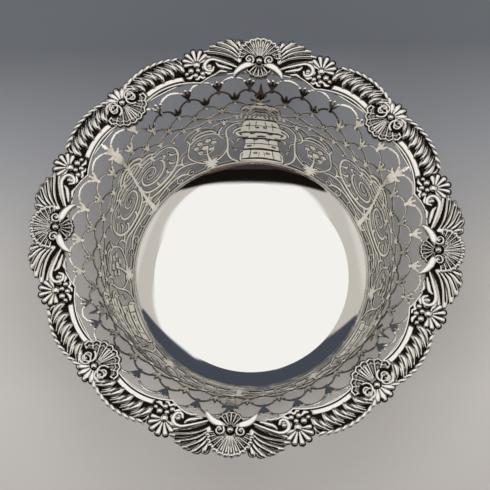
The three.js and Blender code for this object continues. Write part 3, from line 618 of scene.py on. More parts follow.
# Tuft: each leaf from its root to its tip
for x, y, tip_x, tip_y in ((24.5, 88, 20.4, 84.6), (24.5, 88, 28.6, 83.8), (24.6, 90, 20, 89.5),
                           (24.6, 90, 28.4, 89.2), (24.5, 91, 21.5, 92.5), (24.5, 91, 27.6, 92.5)):
    draw((x, y, 0.8), ((x + tip_x) / 2, (y + tip_y) / 2 - 0.8, 0.95), (tip_x, tip_y, 0.3))
# Blossoms: degrees, millimetres down and size
for cx, cy, size in ((23.3, 61.5, 1.0), (27.2, 62.3, 0.95), (21.0, 65.8, 0.9), (25.3, 69.5, 1.1),
                     (29.2, 66.5, 0.9), (22.8, 73, 0.85), (27.8, 73.5, 0.85)):
    for petal_at in np.radians(range(0, 360, 72)):
        dx, dy = 1.5 * size * math.cos(petal_at), 1.5 * size * math.sin(petal_at)
        draw((cx + dx / MM_PER_DEGREE, cy + dy, 1.05 * size, 1.5))
    draw((cx, cy, 0.7 * size, 1.9), dome=0.8)
# Arches that bear on the medallion
for down, wide in ((49, 5.2), (53.5, 6.4)):
    draw((MEDALLION - wide, down + 4.5, 0.8), (MEDALLION - wide * 0.6, down + 0.8, 0.9),
         (MEDALLION, down - 0.6, 0.9), (MEDALLION + wide * 0.6, down + 0.8, 0.9),
         (MEDALLION + wide, down + 4.5, 0.8))
print("metal after the medallion", round(float((gallery.outside < 0).mean()), 3))

# %% [markdown]
# The large scroll is a spiral inside a wider C-curve, with small leaves on its turns, and two long
# tendrils run beneath it with curled ends. A spiral by formula looks too even here, because the hand
# that sawed it pressed it narrow on one side, so its points are set one by one.

# %% The large scroll
outer_turn = [(41.5, 44.2, 0.6), (38.8, 49, 0.8), (37.6, 56, 0.9), (37.9, 64, 0.95), (39.6, 71.5, 1.0),
              (43.2, 77, 1.1), (48, 79.6, 1.2), (53, 79.2, 1.1), (57.4, 75, 1.0), (59.4, 68, 0.85),
              (59.4, 61, 0.8)]
inner_turns = [(46.2, 53, 0.5), (44.8, 58, 0.8), (45.4, 65, 0.9), (48.4, 70.4, 0.95), (52.4, 71.4, 0.95),
               (56.2, 67.5, 0.9), (57.6, 61, 0.85), (56.6, 54.4, 0.8), (53.6, 51.4, 0.75), (50.6, 53, 0.7),
               (49.4, 57.6, 0.7), (50.2, 62.8, 0.7), (52.8, 64.4, 0.65), (54.8, 61.6, 0.6), (54.2, 58, 0.6),
               (52.7, 57.5, 0.5)]
draw(*outer_turn)
draw(*inner_turns)
draw((40.6, 45, 0.5), (44.5, 43.4, 0.8), (48, 45, 0.6))
draw((53.0, 59.6, 0.9, 1.5), dome=0.8)
# Leaves: root, middle and tip
leaves = [((38.2, 60), (40.6, 57), (41.2, 52.5)), ((39.4, 69), (42.2, 66.5), (42.6, 61.5)),
          ((43.2, 76.5), (45.2, 73.5), (44.6, 69)), ((50.8, 79), (51.8, 76), (50.8, 73)),
          ((40.6, 73.4), (38.2, 75.2), (37.4, 78.5)), ((45.2, 56), (43.4, 53.2), (44.4, 49.6)),
          ((56.8, 75.6), (58.4, 78.4), (59.6, 80))]
for root, middle, tip in leaves:
    draw((*root, 0.6), (*middle, 1.0), (*tip, 0.3))
# Tendrils with their curls and leaves
draw((31.4, 82.5, 0.6), (35, 80, 0.8), (40, 79.2, 0.9), (44.5, 82.6, 1.0), (51, 84.3, 1.0), (57, 82.6, 0.9),
     (60, 78.5, 0.8))
draw((60, 88.3, 0.6), (55, 88.6, 0.7), (50, 87.2, 0.7), (45, 86, 0.8), (40.6, 86.2, 0.9), (37.2, 88.4, 0.8))
for centre in ((35.0, 89.3), (41.6, 90.3)):
    curl = arc(centre, (3.4, 0.6), (-110, 330), (0.6, 0.5), (1.2, 1.3), 18)
    draw(*[(centre[0] + (u - centre[0]) / 1.5, v, half, crest) for u, v, half, crest in curl])
draw((36.2, 93.5, 0.5), (33.4, 92.2, 0.5))
draw((36.8, 79.6, 0.5), (37.4, 75, 0.7), (36.6, 70.5, 0.7), (34.4, 67.5, 0.5), (33.4, 70, 0.4))
draw((55.4, 88.4, 0.5), (56.4, 91.8, 0.7), (57.8, 89.5, 0.4))
draw((49.6, 87, 0.5), (48.6, 90.5, 0.6), (50.4, 92.8, 0.4))
# Arches that hang over the scroll, and the stems between them
for down in (36.5, 41.5, 46.5):
    draw((47.5, down + 2.6, 0.7), (50, down - 0.8, 0.8), (53.5, down - 1.4, 0.8), (57, down + 0.5, 0.7),
         (60, down + 2, 0.7))
draw((47.5, 38.5, 0.7), (49.2, 43, 0.6), (48.2, 48, 0.6), (49.6, 51.8, 0.6))
draw((54.4, 34.6, 0.6), (55.2, 39.5, 0.6), (54.2, 44, 0.5), (55.6, 49, 0.6))
print("metal after the scroll", round(float((gallery.outside < 0).mean()), 3))

# %% [markdown]
# Between two repeats stands a pilaster: a slender post with two collars, and on it a canopy and a
# torch with its flame. Its middle is the mirror line of the next repeat, at 60 degrees.

# %% The pilaster and its torch
# Flame and bowl of the torch
draw((60, 10.5, 1.6), (60, 5, 1.3), (60, 0.5, 0.6))
draw((60, 9, 0.9), (58.9, 6, 0.6))
plate((60, 12.0, 2.9), (60, 14.5, 3.4), (60, 18, 2.6), (60, 22, 1.2))
draw((60, 12, 0.8), (57.8, 11, 0.7), (57.4, 10, 0.4))
# Canopy
draw((60, 22, 1.2), (60, 27, 1.2))
draw((60, 26.2, 0.9), (56.5, 26.6, 1.0), (53.8, 30.2, 0.9), (53.2, 33.5, 0.6))
draw((60, 30.2, 1.3), (57, 31, 1.0), (55, 34.4, 0.7))
# Post, collars and foot
draw((60, 33, 1.2), (60, 40, 0.9), (60, 52, 1.1), (60, 60, 0.9), (60, 76, 1.2), (60, 93, 1.8))
draw((60, 34, 1.2), (57.6, 34.4, 0.9))
draw((60, 54.5, 1.2), (58.0, 54.5, 0.9))
plate((60, 83, 1.2), (57.9, 83, 1.1))
plate((60, 92, 1.6), (57.4, 92, 1.4))
print("metal after the pilaster", round(float((gallery.outside < 0).mean()), 3))

# %% [markdown]
# Last come the graver and the saw. Broad grooves part the cartouche's panel into steps, thin ones
# line its columns, and a few short cuts go right through the sheet.

# %% Engraving and last cuts
for down in (54.5, 82.8, 86.5):
    gallery.groove((57, down, 0.3, 0), (61, down, 0.3, 0), depth=0.35)
gallery.groove((58.9, 58, 0.3, 0), (58.8, 81, 0.35, 0), depth=0.3)
for across, low, high in ((1.8, 44, 52), (4.6, 46, 56), (3.0, 70, 77), (1.0, 84, 88), (5.0, 82, 88)):
    gallery.groove((across, low, 0.45, 0), (across + 0.5, high, 0.35, 0), depth=0.6)
for down, half in ((41.6, 1.5), (50.0, 0.6), (59.0, 1.5), (67.4, 1.5), (74.0, 0.7), (80.4, 1.6), (90.2, 1.2)):
    gallery.groove((FIRST_DEGREE, down, half, 0), (9.5, down + 0.6, half * 0.7, 0), depth=1.0)
for x, y, wide in ((6.8, 58.6, 1.2), (6.4, 66, 1.6), (0.0, 64.4, 1.4), (3.4, 60.6, 1.0), (2.4, 68.8, 0.8),
                   (5.2, 76.6, 1.0), (1.4, 52.4, 0.5), (5.4, 49.6, 0.6), (2.6, 84.8, 0.8)):
    gallery.saw((x, y, 0.75, 0), (x + wide, y + 0.3, 0.5, 0))
print("drawing", gallery.outside.shape, "open share", round(float((gallery.outside > 0).mean()), 2))

# %% [markdown]
# The half repeat is mirrored and set three times round. A column of the grid lies on each mirror
# line, so the ring closes on itself with no seam. Both faces are rounded alike, since the wall is
# seen from inside and outside. The floors of the grooves are dark, and the rims of the openings carry
# a painted shade, which is wide low on the wall.

# %% The pierced wall
CARTOUCHE = 89.0
HALF_SHEET = SHEET / 2
OUTER_CREST, HIGHEST_CREST = 1.1, 1.9
THIN_HALF, PER_CREST = 0.34, 0.26
GROOVE_BELOW, GROOVE_FADE = 0.75, 0.4
mirrored = lambda array: np.vstack([array[::-1][:-1], array[:-1]])
ring = Board.__new__(Board)
ring.step, ring.unit, ring.y = gallery.step, unit_at, gallery.y
ring.outside = np.vstack([mirrored(gallery.outside)] * 3)
ring.height = np.vstack([mirrored(gallery.height)] * 3)
ring.x = np.arange(len(ring.outside)) * (360 / len(ring.outside)) - HALF_REPEAT
round_at = lambda x: np.radians(x + CARTOUCHE)
thick = lambda height: THIN_HALF + PER_CREST * np.clip(height, 0, HIGHEST_CREST)
inner_face = lambda x, y, h: wall_point(round_at(x), y, HALF_SHEET - thick(h))
outer_face = lambda x, y, h: wall_point(round_at(x), y, HALF_SHEET + thick(np.minimum(h, OUTER_CREST)))
groove_floor = np.clip((GROOVE_BELOW - ring.height) / GROOVE_FADE, 0, 1)
# Painted shade along the rims of the openings, wider low on the wall; the tarnish of the hollows and the dark
# groove floors are added to it
rim_shade_width = np.interp(ring.y, (8, 14, 36, 50), (0.15, 0.5, 0.5, 0.85))
painted_rim_shade = np.clip(1 + ring.outside / rim_shade_width, 0, 1)
tarnish_and_shade = np.maximum.reduce([recess_of(ring, 1.0, 0.8), painted_rim_shade, groove_floor])
pierced = cut_sheet("pierced_wall", ring, inner_face, outer_face, sawn, tarnish_and_shade, wraps=True)
seat(pierced, "pierced_silver", "pierced_gallery")


# %% [markdown]
# The band is a flat ring with a moulding along its inner edge, which stands in at sixteen points
# and bows outward between them. A bright half-round rib lies on the band under each run of gadroons.
# The band carries painted shade: it is painted dark round the moulding, at the foot of the rib and
# beneath the castings.

# %% The rim band
POINT_REACH, BOW = 4.8, 5.2
OCTANT = 45.0
PALMETTE = 19.5
RIB_FROM, RIB_TO, RIB_ENDS = 24.4, 37.6, 0.7
RIB_INSET, RIB_HALF, RIB_HEIGHT = 3.45, 2.0, 1.3
outer_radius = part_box("rim_band")[1].x / MM
angles = np.arange(0, 360, 0.25)
octant = abs((angles + OCTANT) % (2 * OCTANT) - OCTANT)
bow_share = np.where(octant < PALMETTE, octant / PALMETTE, (octant - PALMETTE) / (OCTANT - PALMETTE))
edge = LIP["radius"] - POINT_REACH + BOW * np.sin(np.pi * bow_share) ** 0.9
rise = np.clip(np.minimum(octant - RIB_FROM, RIB_TO - octant) / RIB_ENDS, 0, 1)
rise = np.sqrt(1 - (1 - rise) ** 2)
lines, shades = [], []


def add_line(radius, z, dark):
    """One line round the band. Each value is a number, or an array with one for each angle."""
    lines.append(np.stack([radius + 0 * edge, z + 0 * edge], -1))
    shades.append(dark + 0 * edge)


# The moulding, as distance from the inner edge, height over the band and darkness, which is painted shade
for offset, z, dark in ((0.0, -1.2, 0.54), (0.05, 0, 0), (0.25, 0.3, 0), (0.6, 0.38, 0), (0.95, 0.3, 0),
                        (1.1, 0, 0.36), (1.15, -0.4, 0.9), (1.4, -0.4, 0.9)):
    add_line(edge + offset, BAND_TOP + z, dark)
# The rib, with a painted shade that grows dark towards its foot
for share in np.linspace(-1, 1, 13):
    lift = (0.15 + 0.85 * rise) * RIB_HEIGHT * (1 - share ** 6) ** 0.6
    add_line(edge + RIB_INSET + share * RIB_HALF, BAND_TOP - 0.35 + lift,
             0.95 * (1 - np.clip((lift - 0.15) / 0.45, 0, 1)))
# The band outside the rib, painted dark as shade beneath the castings, then its outer edge and underside
for r, z, dark in ((BEAD_CIRCLE + 0.8, BAND_TOP - 0.2, 1), (BEAD_CIRCLE + 2, BAND_TOP, 1),
                   (outer_radius - 1, BAND_TOP, 1), (outer_radius, BAND_TOP - 0.6, 0.3),
                   (outer_radius, BAND_UNDER + 0.5, 0), (outer_radius - 0.6, BAND_UNDER, 0),
                   (LIP["radius"], BAND_UNDER, 0), (edge + 0.4, BAND_UNDER, 0)):
    add_line(r, z, dark)
rim = swept_ring("rim_band_with_moulding", angles, np.stack(lines, 1), cast,
                 np.stack(shades, 1).reshape(-1), crease=35)
seat(rim, "polished_silver", "rim_band")


# %% [markdown]
# The border's castings are drawn in millimetres: x runs round the bead circle from a large shell's
# middle, y goes outward from the circle. Each drawing is cast once and set at its place by turning,
# and the pieces on the other side of a large shell are its mirror images. Copies of one mesh would
# be lighter, but each casting has to stand over its own node.

# %% Casting helpers
STEP = 0.28
GROUND_HEIGHT, GROUND_FADE = 1.9, 0.7
THINNEST_CAST = 0.4
quarters = [90.0 * k for k in range(4)]
side_names = [f"{kind}_{k + 1}" for kind in ("left", "right") for k in range(4)]
side_turns = [(a, side) for side in (-1, 1) for a in quarters]


def casting(board, names, turns):
    """Sets the board's casting at each turn, a pair of degrees and side. Side -1 is the mirror image."""
    low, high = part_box(names[0])
    scale = (high.z - low.z) / MM / board.height[board.outside < 0].max()
    ground = np.clip((GROUND_HEIGHT + GROUND_FADE - board.height) / GROUND_FADE, 0, 1)
    recess = np.maximum(recess_of(board, 1.2, 0.95), ground)
    for name, (turn_deg, side) in zip(names, turns):
        def at(x, y, lift):
            angle = math.radians(turn_deg) - side * x / BEAD_CIRCLE
            r = BEAD_CIRCLE + y
            return np.stack([r * np.cos(angle), r * np.sin(angle), CAST_BACK + lift], -1) * MM
        front = lambda x, y, h: at(x, y, np.maximum(h, THINNEST_CAST) * scale)
        back = lambda x, y, h: at(x, y, np.zeros_like(x))
        seat(cut_sheet(name.replace("_", "_cast_", 1), board, front, back, cast, recess), "cast_silver", name)


print("castings stand", CAST_BACK, "mm up, pairs", side_names)

# %% [markdown]
# A large shell is a fan of flutes that opens outward from a bead, with a smaller fan on its inner
# side. The flutes are hollow and dark, and what catches the light is the thin rib between two of
# them, the scalloped edge and the rows of pearls. Two volutes hold the bead, and from each a smooth
# leaf runs off to the side. A sector drawn from the hub gives all of that from a few angles.

# %% Fans, their edges and volutes
VOLUTE_GROUND = 1.8


def spot(hub, way, r, angle):
    """A point at r from the hub. Its angle is taken from outward, or from inward where way is -1."""
    return hub[0] + r * math.sin(math.radians(angle)), hub[1] + way * r * math.cos(math.radians(angle))


def sector(board, hub, way, turns, reach, rib, edge, ground, smooth=0, pearls=0):
    """A fan of flutes. turns are the ribs' angles, reach is (middle, sides), rib is (half-width, crest)."""
    far = lambda a: reach[0] + (reach[1] - reach[0]) * (abs(a) / max(turns)) ** 2
    at = lambda share, a: spot(hub, way, share * far(a), a)
    middles = [(a + b) / 2 for a, b in zip(turns, turns[1:])]
    broad = math.radians(turns[1] - turns[0]) / 2
    half_rib, crest = rib
    for a in middles:
        r = far(a)
        board.raise_((*at(0.2, a), 0.24 * r * broad + 0.5, ground), (*at(0.92, a), r * broad, ground),
                     dome=0.05)
    for a in turns:
        board.raise_((*at(0.22, a), 0.3, crest - 0.6), (*at(0.6, a), half_rib, crest),
                     (*at(0.95, a), half_rib * 1.15, crest - 0.2))
    for a in middles:
        r = far(a)
        if abs(a) < smooth:
            board.raise_((*at(0.24, a), 0.5, crest - 1.0), (*at(0.84, a), 0.4 * r * broad, crest - 0.9),
                         dome=0.8)
        if edge:
            board.raise_((*at(0.94, a), 0.84 * r * broad, edge), dome=0.85)
        for share in np.arange(0.4, 0.84, 0.075) if pearls and abs(a) > smooth else []:
            board.raise_((*at(share, a), pearls, crest - 0.4))


def rim_line(board, hub, way, radius, turns, half, crest, wave):
    """A line round a fan, which dips by wave at each rib. turns is (last rib, angle between two)."""
    rows = []
    for a in range(-turns[0], turns[0] + 1, turns[1] // 4):
        r = radius - wave * math.cos(math.radians(a * 180 / turns[1])) ** 2
        rows.append((*spot(hub, way, r, a), half, crest))
    board.raise_(*rows)


def volute(board, centre, radius, half, crest, turn):
    """A thick spiral round a bead on a lower ground, and its mirror image."""
    for side in (-1, 1):
        board.level(side * centre[0], centre[1], radius + 0.5 * half, VOLUTE_GROUND)
    halves, crests = (half, 0.6 * half), (crest, crest + 0.5)
    board.both(*arc(centre, (radius, 1.3 * half), (-90, -90 + turn), halves, crests, 30))
    board.both((*centre, 0.95 * half, crest + 0.9))


# %% [markdown]
# The large shell opens in twelve flutes with pearls in all but the middle ones, and its inner fan
# has six. The leaf at each side grows out of the volute and bends down over the wall.

# %% The large shells
OUTER_HUB, INNER_HUB = (0, -0.6), (0, -2.0)
shell = Board(-22, 22, -13.6, 17.2, STEP)
sector(shell, OUTER_HUB, 1, range(-78, 79, 13), reach=(16.4, 14.4), rib=(0.42, 4.6), edge=4.9, ground=1.6,
       smooth=26, pearls=0.5)
sector(shell, INNER_HUB, -1, range(-66, 67, 22), reach=(9.9, 9.0), rib=(0.5, 3.9), edge=0, ground=2.25)
rim_line(shell, INNER_HUB, -1, 9.7, (66, 22), half=0.45, crest=3.5, wave=0.5)
shell.both((0, -1.0, 3.6, 1.7), (6.6, -0.4, 4.4, 1.7), dome=0.1)
volute(shell, (6.6, 0.0), 3.2, 0.85, 4.6, turn=-430)
shell.both((4.0, -3.6, 0.9, 4.6), (7.4, -3.9, 2.2, 5.3), (10.8, -5.0, 2.2, 5.2), (13.8, -6.9, 1.8, 4.9),
           (16.0, -8.8, 1.3, 4.5), (17.4, -11.2, 0.5, 3.8), dome=0.3)
shell.raise_((0, -0.8, 2.1, 5.8))
casting(shell, [f"main_shell_{k + 1}" for k in range(4)], [(a, 1) for a in quarters])

# %% [markdown]
# The acanthus spray fills the space between a large shell and a palmette. Its five fingers start
# together under the shell's volute and sweep outward one behind the other, each broad and smooth
# with a dark crease beside it and a rounded tip. Along its inner side a stem turns back on itself
# round a bead, and two small leaves hang under the stem.

# %% The acanthus sprays
spray = Board(8.5, 38, -9.4, 17.0, STEP)
ROOT = (12.2, -3.0)
CREASE_SHIFT = -1.2
# Each finger: its tip, and how late it bends
fingers = [(13.4, 14.2, 2.6), (19.2, 15.2, 2.2), (24.8, 14.2, 1.9), (29.8, 12.4, 1.7), (34.0, 9.4, 1.5)]


def on_finger(finger, t, shift=0):
    tip_x, tip_y, bend = finger
    out = 1 - (1 - t) ** 1.25
    return ROOT[0] + (tip_x - ROOT[0]) * t ** bend + shift, ROOT[1] + (tip_y - ROOT[1]) * out


for finger in fingers:
    ground = ((0.1, 1.6), (0.5, 2.9), (0.9, 2.6))
    spray.raise_(*[(*on_finger(finger, t), half, GROUND_HEIGHT) for t, half in ground], dome=0.1)
spray.raise_((15, -4.6, 2.4, 1.9), (24, -2.0, 3.6, 1.9), (32, -0.6, 5.0, 1.9), dome=0.1)
for k, finger in enumerate(fingers):
    size = 1.0 - 0.03 * k
    spray.raise_(*[(*on_finger(finger, t), half * size, crest + 0.15 * k) for t, half, crest in
                   ((0.12, 0.6, 3.2), (0.4, 1.15, 4.2), (0.7, 1.75, 5.0), (0.9, 2.0, 4.7), (1.0, 1.5, 3.9))],
                 dome=1.1)
    spray.groove(*[(*on_finger(finger, t, CREASE_SHIFT), 0.5, 0) for t in (0.3, 0.6, 0.95)], depth=2.2)
spray.raise_((16, -3.4, 0.8, 2.8), (22, -0.2, 1.5, 3.6), (28, 2.6, 1.7, 3.9), (33.4, 5.6, 0.9, 3.3),
             dome=0.85)
# Stem with its bead, and the leaves under it
spray.raise_((14.0, -5.2, 0.6, 3.8), (19.6, -2.4, 0.9, 4.4), (25.6, 0.6, 1.0, 4.6), (30.6, 2.8, 1.25, 4.8),
             (34.6, 2.2, 1.35, 4.8), (36.6, -0.8, 1.2, 4.7), (35.4, -4.0, 1.1, 4.4), (32.2, -4.8, 1.0, 4.2),
             (30.8, -2.6, 0.8, 4.0), dome=0.7)
spray.raise_((33.4, -1.4, 1.5, 4.8))
spray.raise_((18.8, -5.6, 0.5, 3.6), (23.2, -4.0, 1.15, 4.2), (27.0, -2.2, 1.2, 4.2), (28.8, 0.0, 0.5, 3.8),
             dome=0.7)
spray.raise_((22.8, -7.0, 0.5, 3.4), (26.4, -6.2, 1.1, 4.0), (29.2, -7.0, 0.6, 3.4))
casting(spray, [f"acanthus_spray_{name}" for name in side_names], side_turns)

# %% [markdown]
# A palmette is a half flower: seven club-shaped rays round a ball, with smaller balls and two pairs
# of leaves below. The rays are narrow at the root and plump at the tip.

# %% The palmettes
PALM_AT = math.degrees(41.5 / BEAD_CIRCLE)
RAY_HUB = (0, 2.2)
palm = Board(-11, 11, -9.6, 14.2, STEP)
rays = [(a, 10.4 - 0.0003 * a * a) for a in range(-81, 82, 27)]
around = lambda r, a: spot(RAY_HUB, 1, r, a)
for a, reach in rays:
    palm.raise_((*around(2, a), 1.6, 1.6), (*around(reach - 0.8, a), 2.0, 1.6), dome=0.1)
palm.raise_((0, 0, 5.4, 1.6), (0, -4.4, 4.8, 1.6), dome=0.1)
palm.both((0, -4.0, 4.0, 1.6), (6.4, -3.4, 3.4, 1.6), dome=0.1)
for a, reach in rays:
    palm.raise_((*around(2.6, a), 0.55, 3.6), (*around(reach - 3.2, a), 1.15, 4.4),
                (*around(reach - 1.3, a), 1.5, 4.4), dome=0.8)
palm.raise_((0, 1.6, 2.5, 5.8))
palm.raise_((0, -2.4, 1.6, 4.8))
for ball in ((4.7, -1.3, 2.0, 5.0), (2.5, -5.3, 1.7, 4.6), (8.0, -2.6, 1.4, 4.2)):
    palm.both(ball)
palm.both((4.4, -4.9, 0.6, 3.8), (6.6, -6.0, 1.1, 4.0), (8.8, -5.4, 0.5, 3.4), dome=0.6)
palm.both((0.3, -7.0, 0.8, 3.8), (1.6, -8.2, 0.7, 3.6), (3.4, -8.0, 0.4, 3.2), dome=0.6)
palm_turns = [(a - side * PALM_AT, side) for a, side in side_turns]
casting(palm, [f"palmette_{name}" for name in side_names], palm_turns)

# %% [markdown]
# Each horn is a run of gadroons: groups of plump lobes that start round at the inner side and sweep
# outward like commas. A rope of slanted leaves follows their outer edge. The lobes get a full dome,
# so every one carries its own highlight, and the ground between them stays black.

# %% The gadroon horns
horn = Board(49.5, 94.5, -2.4, 15, STEP)
GROUP, GROUPS = 7.2, 5
ROPE_LEAF = 4.3
rope_at = lambda x: 12.3 - 0.0095 * (x - 69) ** 2
for y, x0, x1, half in ((0.8, 51.6, 84.5, 2.6), (5.2, 52.4, 86.5, 3.2), (8.6, 55.5, 84.0, 2.8)):
    horn.raise_((x0, y, half * 0.75, 1.6), ((x0 + x1) / 2, y + 0.4, half, 1.6), (x1, y, half * 0.75, 1.6),
                dome=0.05)
horn.raise_((85, 4.2, 2.2, 1.6), (89.6, 2.6, 3.9, 1.6), dome=0.05)
horn.raise_(*[(x, rope_at(x) - 1.3, 1.3, 1.8) for x in range(52, 90, 6)], dome=0.2)
for k in range(GROUPS):
    x = 52.4 + GROUP * k
    low = 1.0 if k < GROUPS - 1 else 0.84
    horn.raise_((x - 0.9, -1.3, 0.6, 3.4), (x - 0.6, 0.6, 1.7, 4.8), (x + 0.4, 3.0 * low, 2.1, 5.4),
                (x + 2.2, 5.8 * low, 1.6, 4.9), (x + 4.6, 8.6 * low, 0.6, 3.7),
                (x + 6.0, 9.8 * low, 0.4, 3.2), dome=0.6)
    horn.groove((x + 0.2, 0.8, 0.3, 0), (x + 1.5, 3.4 * low, 0.4, 0), (x + 3.2, 6.2 * low, 0.3, 0), depth=1.5)
    horn.raise_((x + 3.0, 1.4, 0.4, 3.2), (x + 3.4, 3.0, 0.85, 4.0), (x + 4.4, 5.2 * low, 0.85, 4.1),
                (x + 6.2, 7.6 * low, 0.6, 3.8), (x + 8.2, 9.6 * low, 0.35, 3.1), dome=0.8)
    horn.raise_((x + 4.9, 3.0, 0.3, 3.0), (x + 5.6, 4.6, 0.5, 3.5), (x + 6.8, 6.4 * low, 0.45, 3.4),
                (x + 8.4, 8.2 * low, 0.3, 3.0))
for x in np.arange(51.6, 88, ROPE_LEAF):
    y, y2 = rope_at(x), rope_at(x + 4.4)
    horn.raise_((x, y + 0.9, 0.45, 3.4), (x + 1.5, y + 0.35, 1.1, 4.0),
                (x + 3.2, (y + y2) / 2 - 0.3, 1.0, 3.9), (x + 4.9, y2 - 0.9, 0.4, 3.1), dome=0.6)
horn.raise_(*arc((89.7, 2.6), (4.1, 1.5), (175, -330), (0.75, 0.6), (3.6, 4.4), 30))
horn.raise_((89.9, 2.4, 0.9, 4.6))
horn.raise_((50.8, 3.4, 0.6, 3.0), (51.0, 6.2, 0.6, 3.2), (52.6, 8.8, 0.4, 2.8))
casting(horn, [f"gadroon_run_{name}" for name in side_names], side_turns)

# %% [markdown]
# A small shell hangs the other way round: its large fan opens inward over the wall, with eight broad
# flutes and a waved edge. Two big volutes and a bead sit at its root, and a few petals look outward.

# %% The small shells
FAN_HUB, PETAL_HUB = (0, 0.8), (0, 1.4)
scallop = Board(-17.4, 17.4, -17.2, 14.2, STEP)
sector(scallop, FAN_HUB, -1, range(-80, 81, 20), reach=(16.0, 14.6), rib=(0.42, 3.9), edge=0, ground=2.25,
       smooth=24, pearls=0.4)
rim_line(scallop, FAN_HUB, -1, 16.0, (80, 20), half=0.55, crest=4.0, wave=1.1)
rim_line(scallop, FAN_HUB, -1, 13.4, (80, 20), half=0.36, crest=3.6, wave=1.0)
petals = [(12, 10.6, 1.5), (36, 10.2, 1.5), (60, 9.2, 1.35), (84, 8.2, 1.1)]
petal = lambda r, a: spot(PETAL_HUB, 1, r, a)
for a, reach, half in petals:
    scallop.both((*petal(2, a), 1.6, 1.6), (*petal(reach - 0.6, a), half + 0.5, 1.6), dome=0.1)
scallop.both((0, 0.4, 3.8, 1.6), (7, 0.6, 5.4, 1.6), dome=0.1)
for a, reach, half in petals:
    scallop.both((*petal(3.4, a), 0.6, 3.4), (*petal(0.72 * reach, a), half, 4.3),
                 (*petal(reach - 0.6, a), half * 0.85, 3.9), dome=0.5)
volute(scallop, (6.9, 0.2), 4.5, 0.85, 4.5, turn=-450)
scallop.raise_((0, 1.6, 2.0, 5.4))
casting(scallop, [f"minor_shell_{k + 1}" for k in range(4)], [(a + OCTANT, 1) for a in quarters])

# %% [markdown]
# The stage is a plain sheet of paper. Its colour carries a painted falloff of light: under the bowl
# it is a pale warm grey, and it darkens to a cooler grey at the back, as paper does when the light
# comes from the front. The colour follows the paper itself, so it stays put when the camera moves.

# %% The paper
PAPER_REACH = 3
paper, tree = new_material("pale backdrop paper")
place = add(tree, "ShaderNodeTexCoord").outputs["Object"]
across, deep, _ = add(tree, "ShaderNodeSeparateXYZ", {"Vector": place}).outputs
tilt = multiply_add(tree, across, -0.08, deep)
depth = add(tree, "ShaderNodeMapRange", {"Value": tilt, "From Min": -0.2, "From Max": 0.2})
# The ramp is painted light: the paper's colour darkens towards the back as the light falls off
tone = ramp(tree, depth.outputs["Result"], (0.04, "#9E9A97"), (0.3, "#AFABA8"), (0.52, "#A9A6A3"),
            (0.75, "#87888C"), (0.95, "#5F6267"))
surface = add(tree, "ShaderNodeBsdfPrincipled", {
    "Base Color": tone, "Roughness": 0.85, "Specular IOR Level": 0.25,
})
add(tree, "ShaderNodeOutputMaterial", {"Surface": surface.outputs[0]})
mesh = bpy.data.meshes.new("paper")
corners = [(x * PAPER_REACH, y * PAPER_REACH, 0) for x, y in ((-1, -1), (1, -1), (1, 1), (-1, 1))]
mesh.from_pydata(corners, [], [(0, 1, 2, 3)])
mesh.materials.append(paper)
floor_sheet = bpy.data.objects.new("paper", mesh)
bpy.context.scene.collection.objects.link(floor_sheet)
print("paper", 2 * PAPER_REACH, "metres wide")

# %% [markdown]
# Two soft lamps light the paper and the matt parts of the metal, and the silver doesn't mirror
# them. What it mirrors is the room, which is drawn from the direction alone as round patches with
# soft edges: white overhead and a little behind, which fills the flat floor with white, paler sides,
# slate grey at the far side, and in front, where a photographer would stand, a dark room with some
# brown in it. Cards round the bowl could do that too, but they would get in the camera's way.

# %% The lamps
AIM = Vector((0, 0, 0.05))


def softbox(name, place, size, watts):
    lamp = bpy.data.lights.new(name, "AREA")
    lamp.shape, lamp.size, lamp.size_y = "RECTANGLE", size, size
    lamp.energy = watts
    obj = bpy.data.objects.new(name, lamp)
    obj.location = place
    obj.rotation_euler = (AIM - Vector(place)).to_track_quat("-Z", "Y").to_euler()
    obj.visible_glossy = False
    bpy.context.scene.collection.objects.link(obj)
    print(name, watts, "watts")


softbox("key softbox", (0.05, 0.25, 1.4), 0.9, 9.5)
softbox("front softbox", (-0.05, -0.7, 0.8), 0.7, 6.5)

# %% [markdown]
# The polished well shows the room as clear bands, and the border as small glints. Each patch below
# is one thing in the room that the silver shows.

# %% The room in the reflections
WHITE, PALE, SLATE, DARK = "#FFFFFF", "#DCD9D4", "#454B57", "#14110F"
world = bpy.data.worlds.new("studio")
bpy.context.scene.world = world
world.use_nodes = True
tree = world.node_tree
tree.nodes.clear()
way = add(tree, "ShaderNodeTexCoord").outputs["Generated"]
room = linear("#C9C6C1")
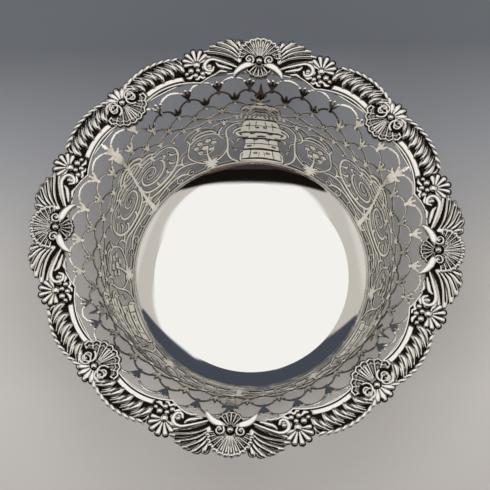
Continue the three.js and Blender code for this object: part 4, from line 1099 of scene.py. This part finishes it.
# Each patch of the room: azimuth, elevation, radius and softness in degrees, and its colour
patches = [(0, 90, 24, 4, WHITE), (90, 66, 24, 3, WHITE), (0, 30, 14, 10, PALE), (180, 30, 14, 10, PALE),
           (90, 24, 24, 2, SLATE), (64, 25, 22, 2, SLATE), (122, 25, 22, 2, SLATE),
           (-90, 31, 41, 3, DARK), (-62, 24, 23, 3, DARK),
           (-72, 34, 9, 5, "#5C443A"), (-108, 33, 9, 5, "#41322D"), (-90, 46, 8, 5, "#3A3236")]
for azimuth, elevation, radius, soft, tone in patches:
    a, e = math.radians(azimuth), math.radians(elevation)
    aim = (math.cos(a) * math.cos(e), math.sin(a) * math.cos(e), math.sin(e))
    near = add(tree, "ShaderNodeVectorMath", {0: way, 1: aim}, operation="DOT_PRODUCT").outputs["Value"]
    outer, full = [math.cos(math.radians(angle)) for angle in (radius + soft, radius)]
    inside = add(tree, "ShaderNodeMapRange", {"Value": near, "From Min": outer, "From Max": full},
                 interpolation_type="SMOOTHSTEP").outputs["Result"]
    mix = add(tree, "ShaderNodeMix", {"Factor": inside, 6: room, 7: linear(tone)}, data_type="RGBA")
    room = mix.outputs[2]
background = add(tree, "ShaderNodeBackground", {"Color": room, "Strength": 1.0})
add(tree, "ShaderNodeOutputWorld", {"Surface": background.outputs[0]})
print("room patches", len(patches))

# %% [markdown]
# The camera was worked out from the circles of the border: it looks down at 74 degrees, a little
# from the front, and is rolled by nine degrees.

# %% The camera
ELEVATION, YAW, ROLL = map(math.radians, (73.891, -13.288, -9.317))
DISTANCE, SHIFT = 7.246 * BEAD_CIRCLE * MM, (0.002, 0.030)
FOCAL_PIXELS, FRAME, SENSOR = 1398.5, 490, 36
BORDER_HEIGHT = 0.104
back = Vector((0, -math.cos(ELEVATION), math.sin(ELEVATION)))
right = Vector((1, 0, 0))
up = back.cross(right)
right, up = (right * math.cos(ROLL) + up * math.sin(ROLL)), (up * math.cos(ROLL) - right * math.sin(ROLL))
place = back * DISTANCE - (right * SHIFT[0] + up * SHIFT[1]) * BEAD_CIRCLE * MM
unyaw = Matrix.Rotation(-YAW, 3, "Z")
axes = Matrix([unyaw @ right, unyaw @ up, unyaw @ back]).transposed()
camera = bpy.data.objects.new("camera", bpy.data.cameras.new("camera"))
camera.data.sensor_width = SENSOR
camera.data.lens = FOCAL_PIXELS / FRAME * SENSOR
camera.matrix_world = Matrix.Translation(unyaw @ place + Vector((0, 0, BORDER_HEIGHT))) @ axes.to_4x4()
bpy.context.scene.collection.objects.link(camera)
bpy.context.scene.camera = camera
bpy.context.scene.view_settings.view_transform = "Standard"
print("camera at", [round(c, 4) for c in camera.matrix_world.translation], "lens", round(camera.data.lens, 1))

# %% [markdown]
# The view layer is brought up to date at the end.

# %% The last line
bpy.context.view_layer.update()
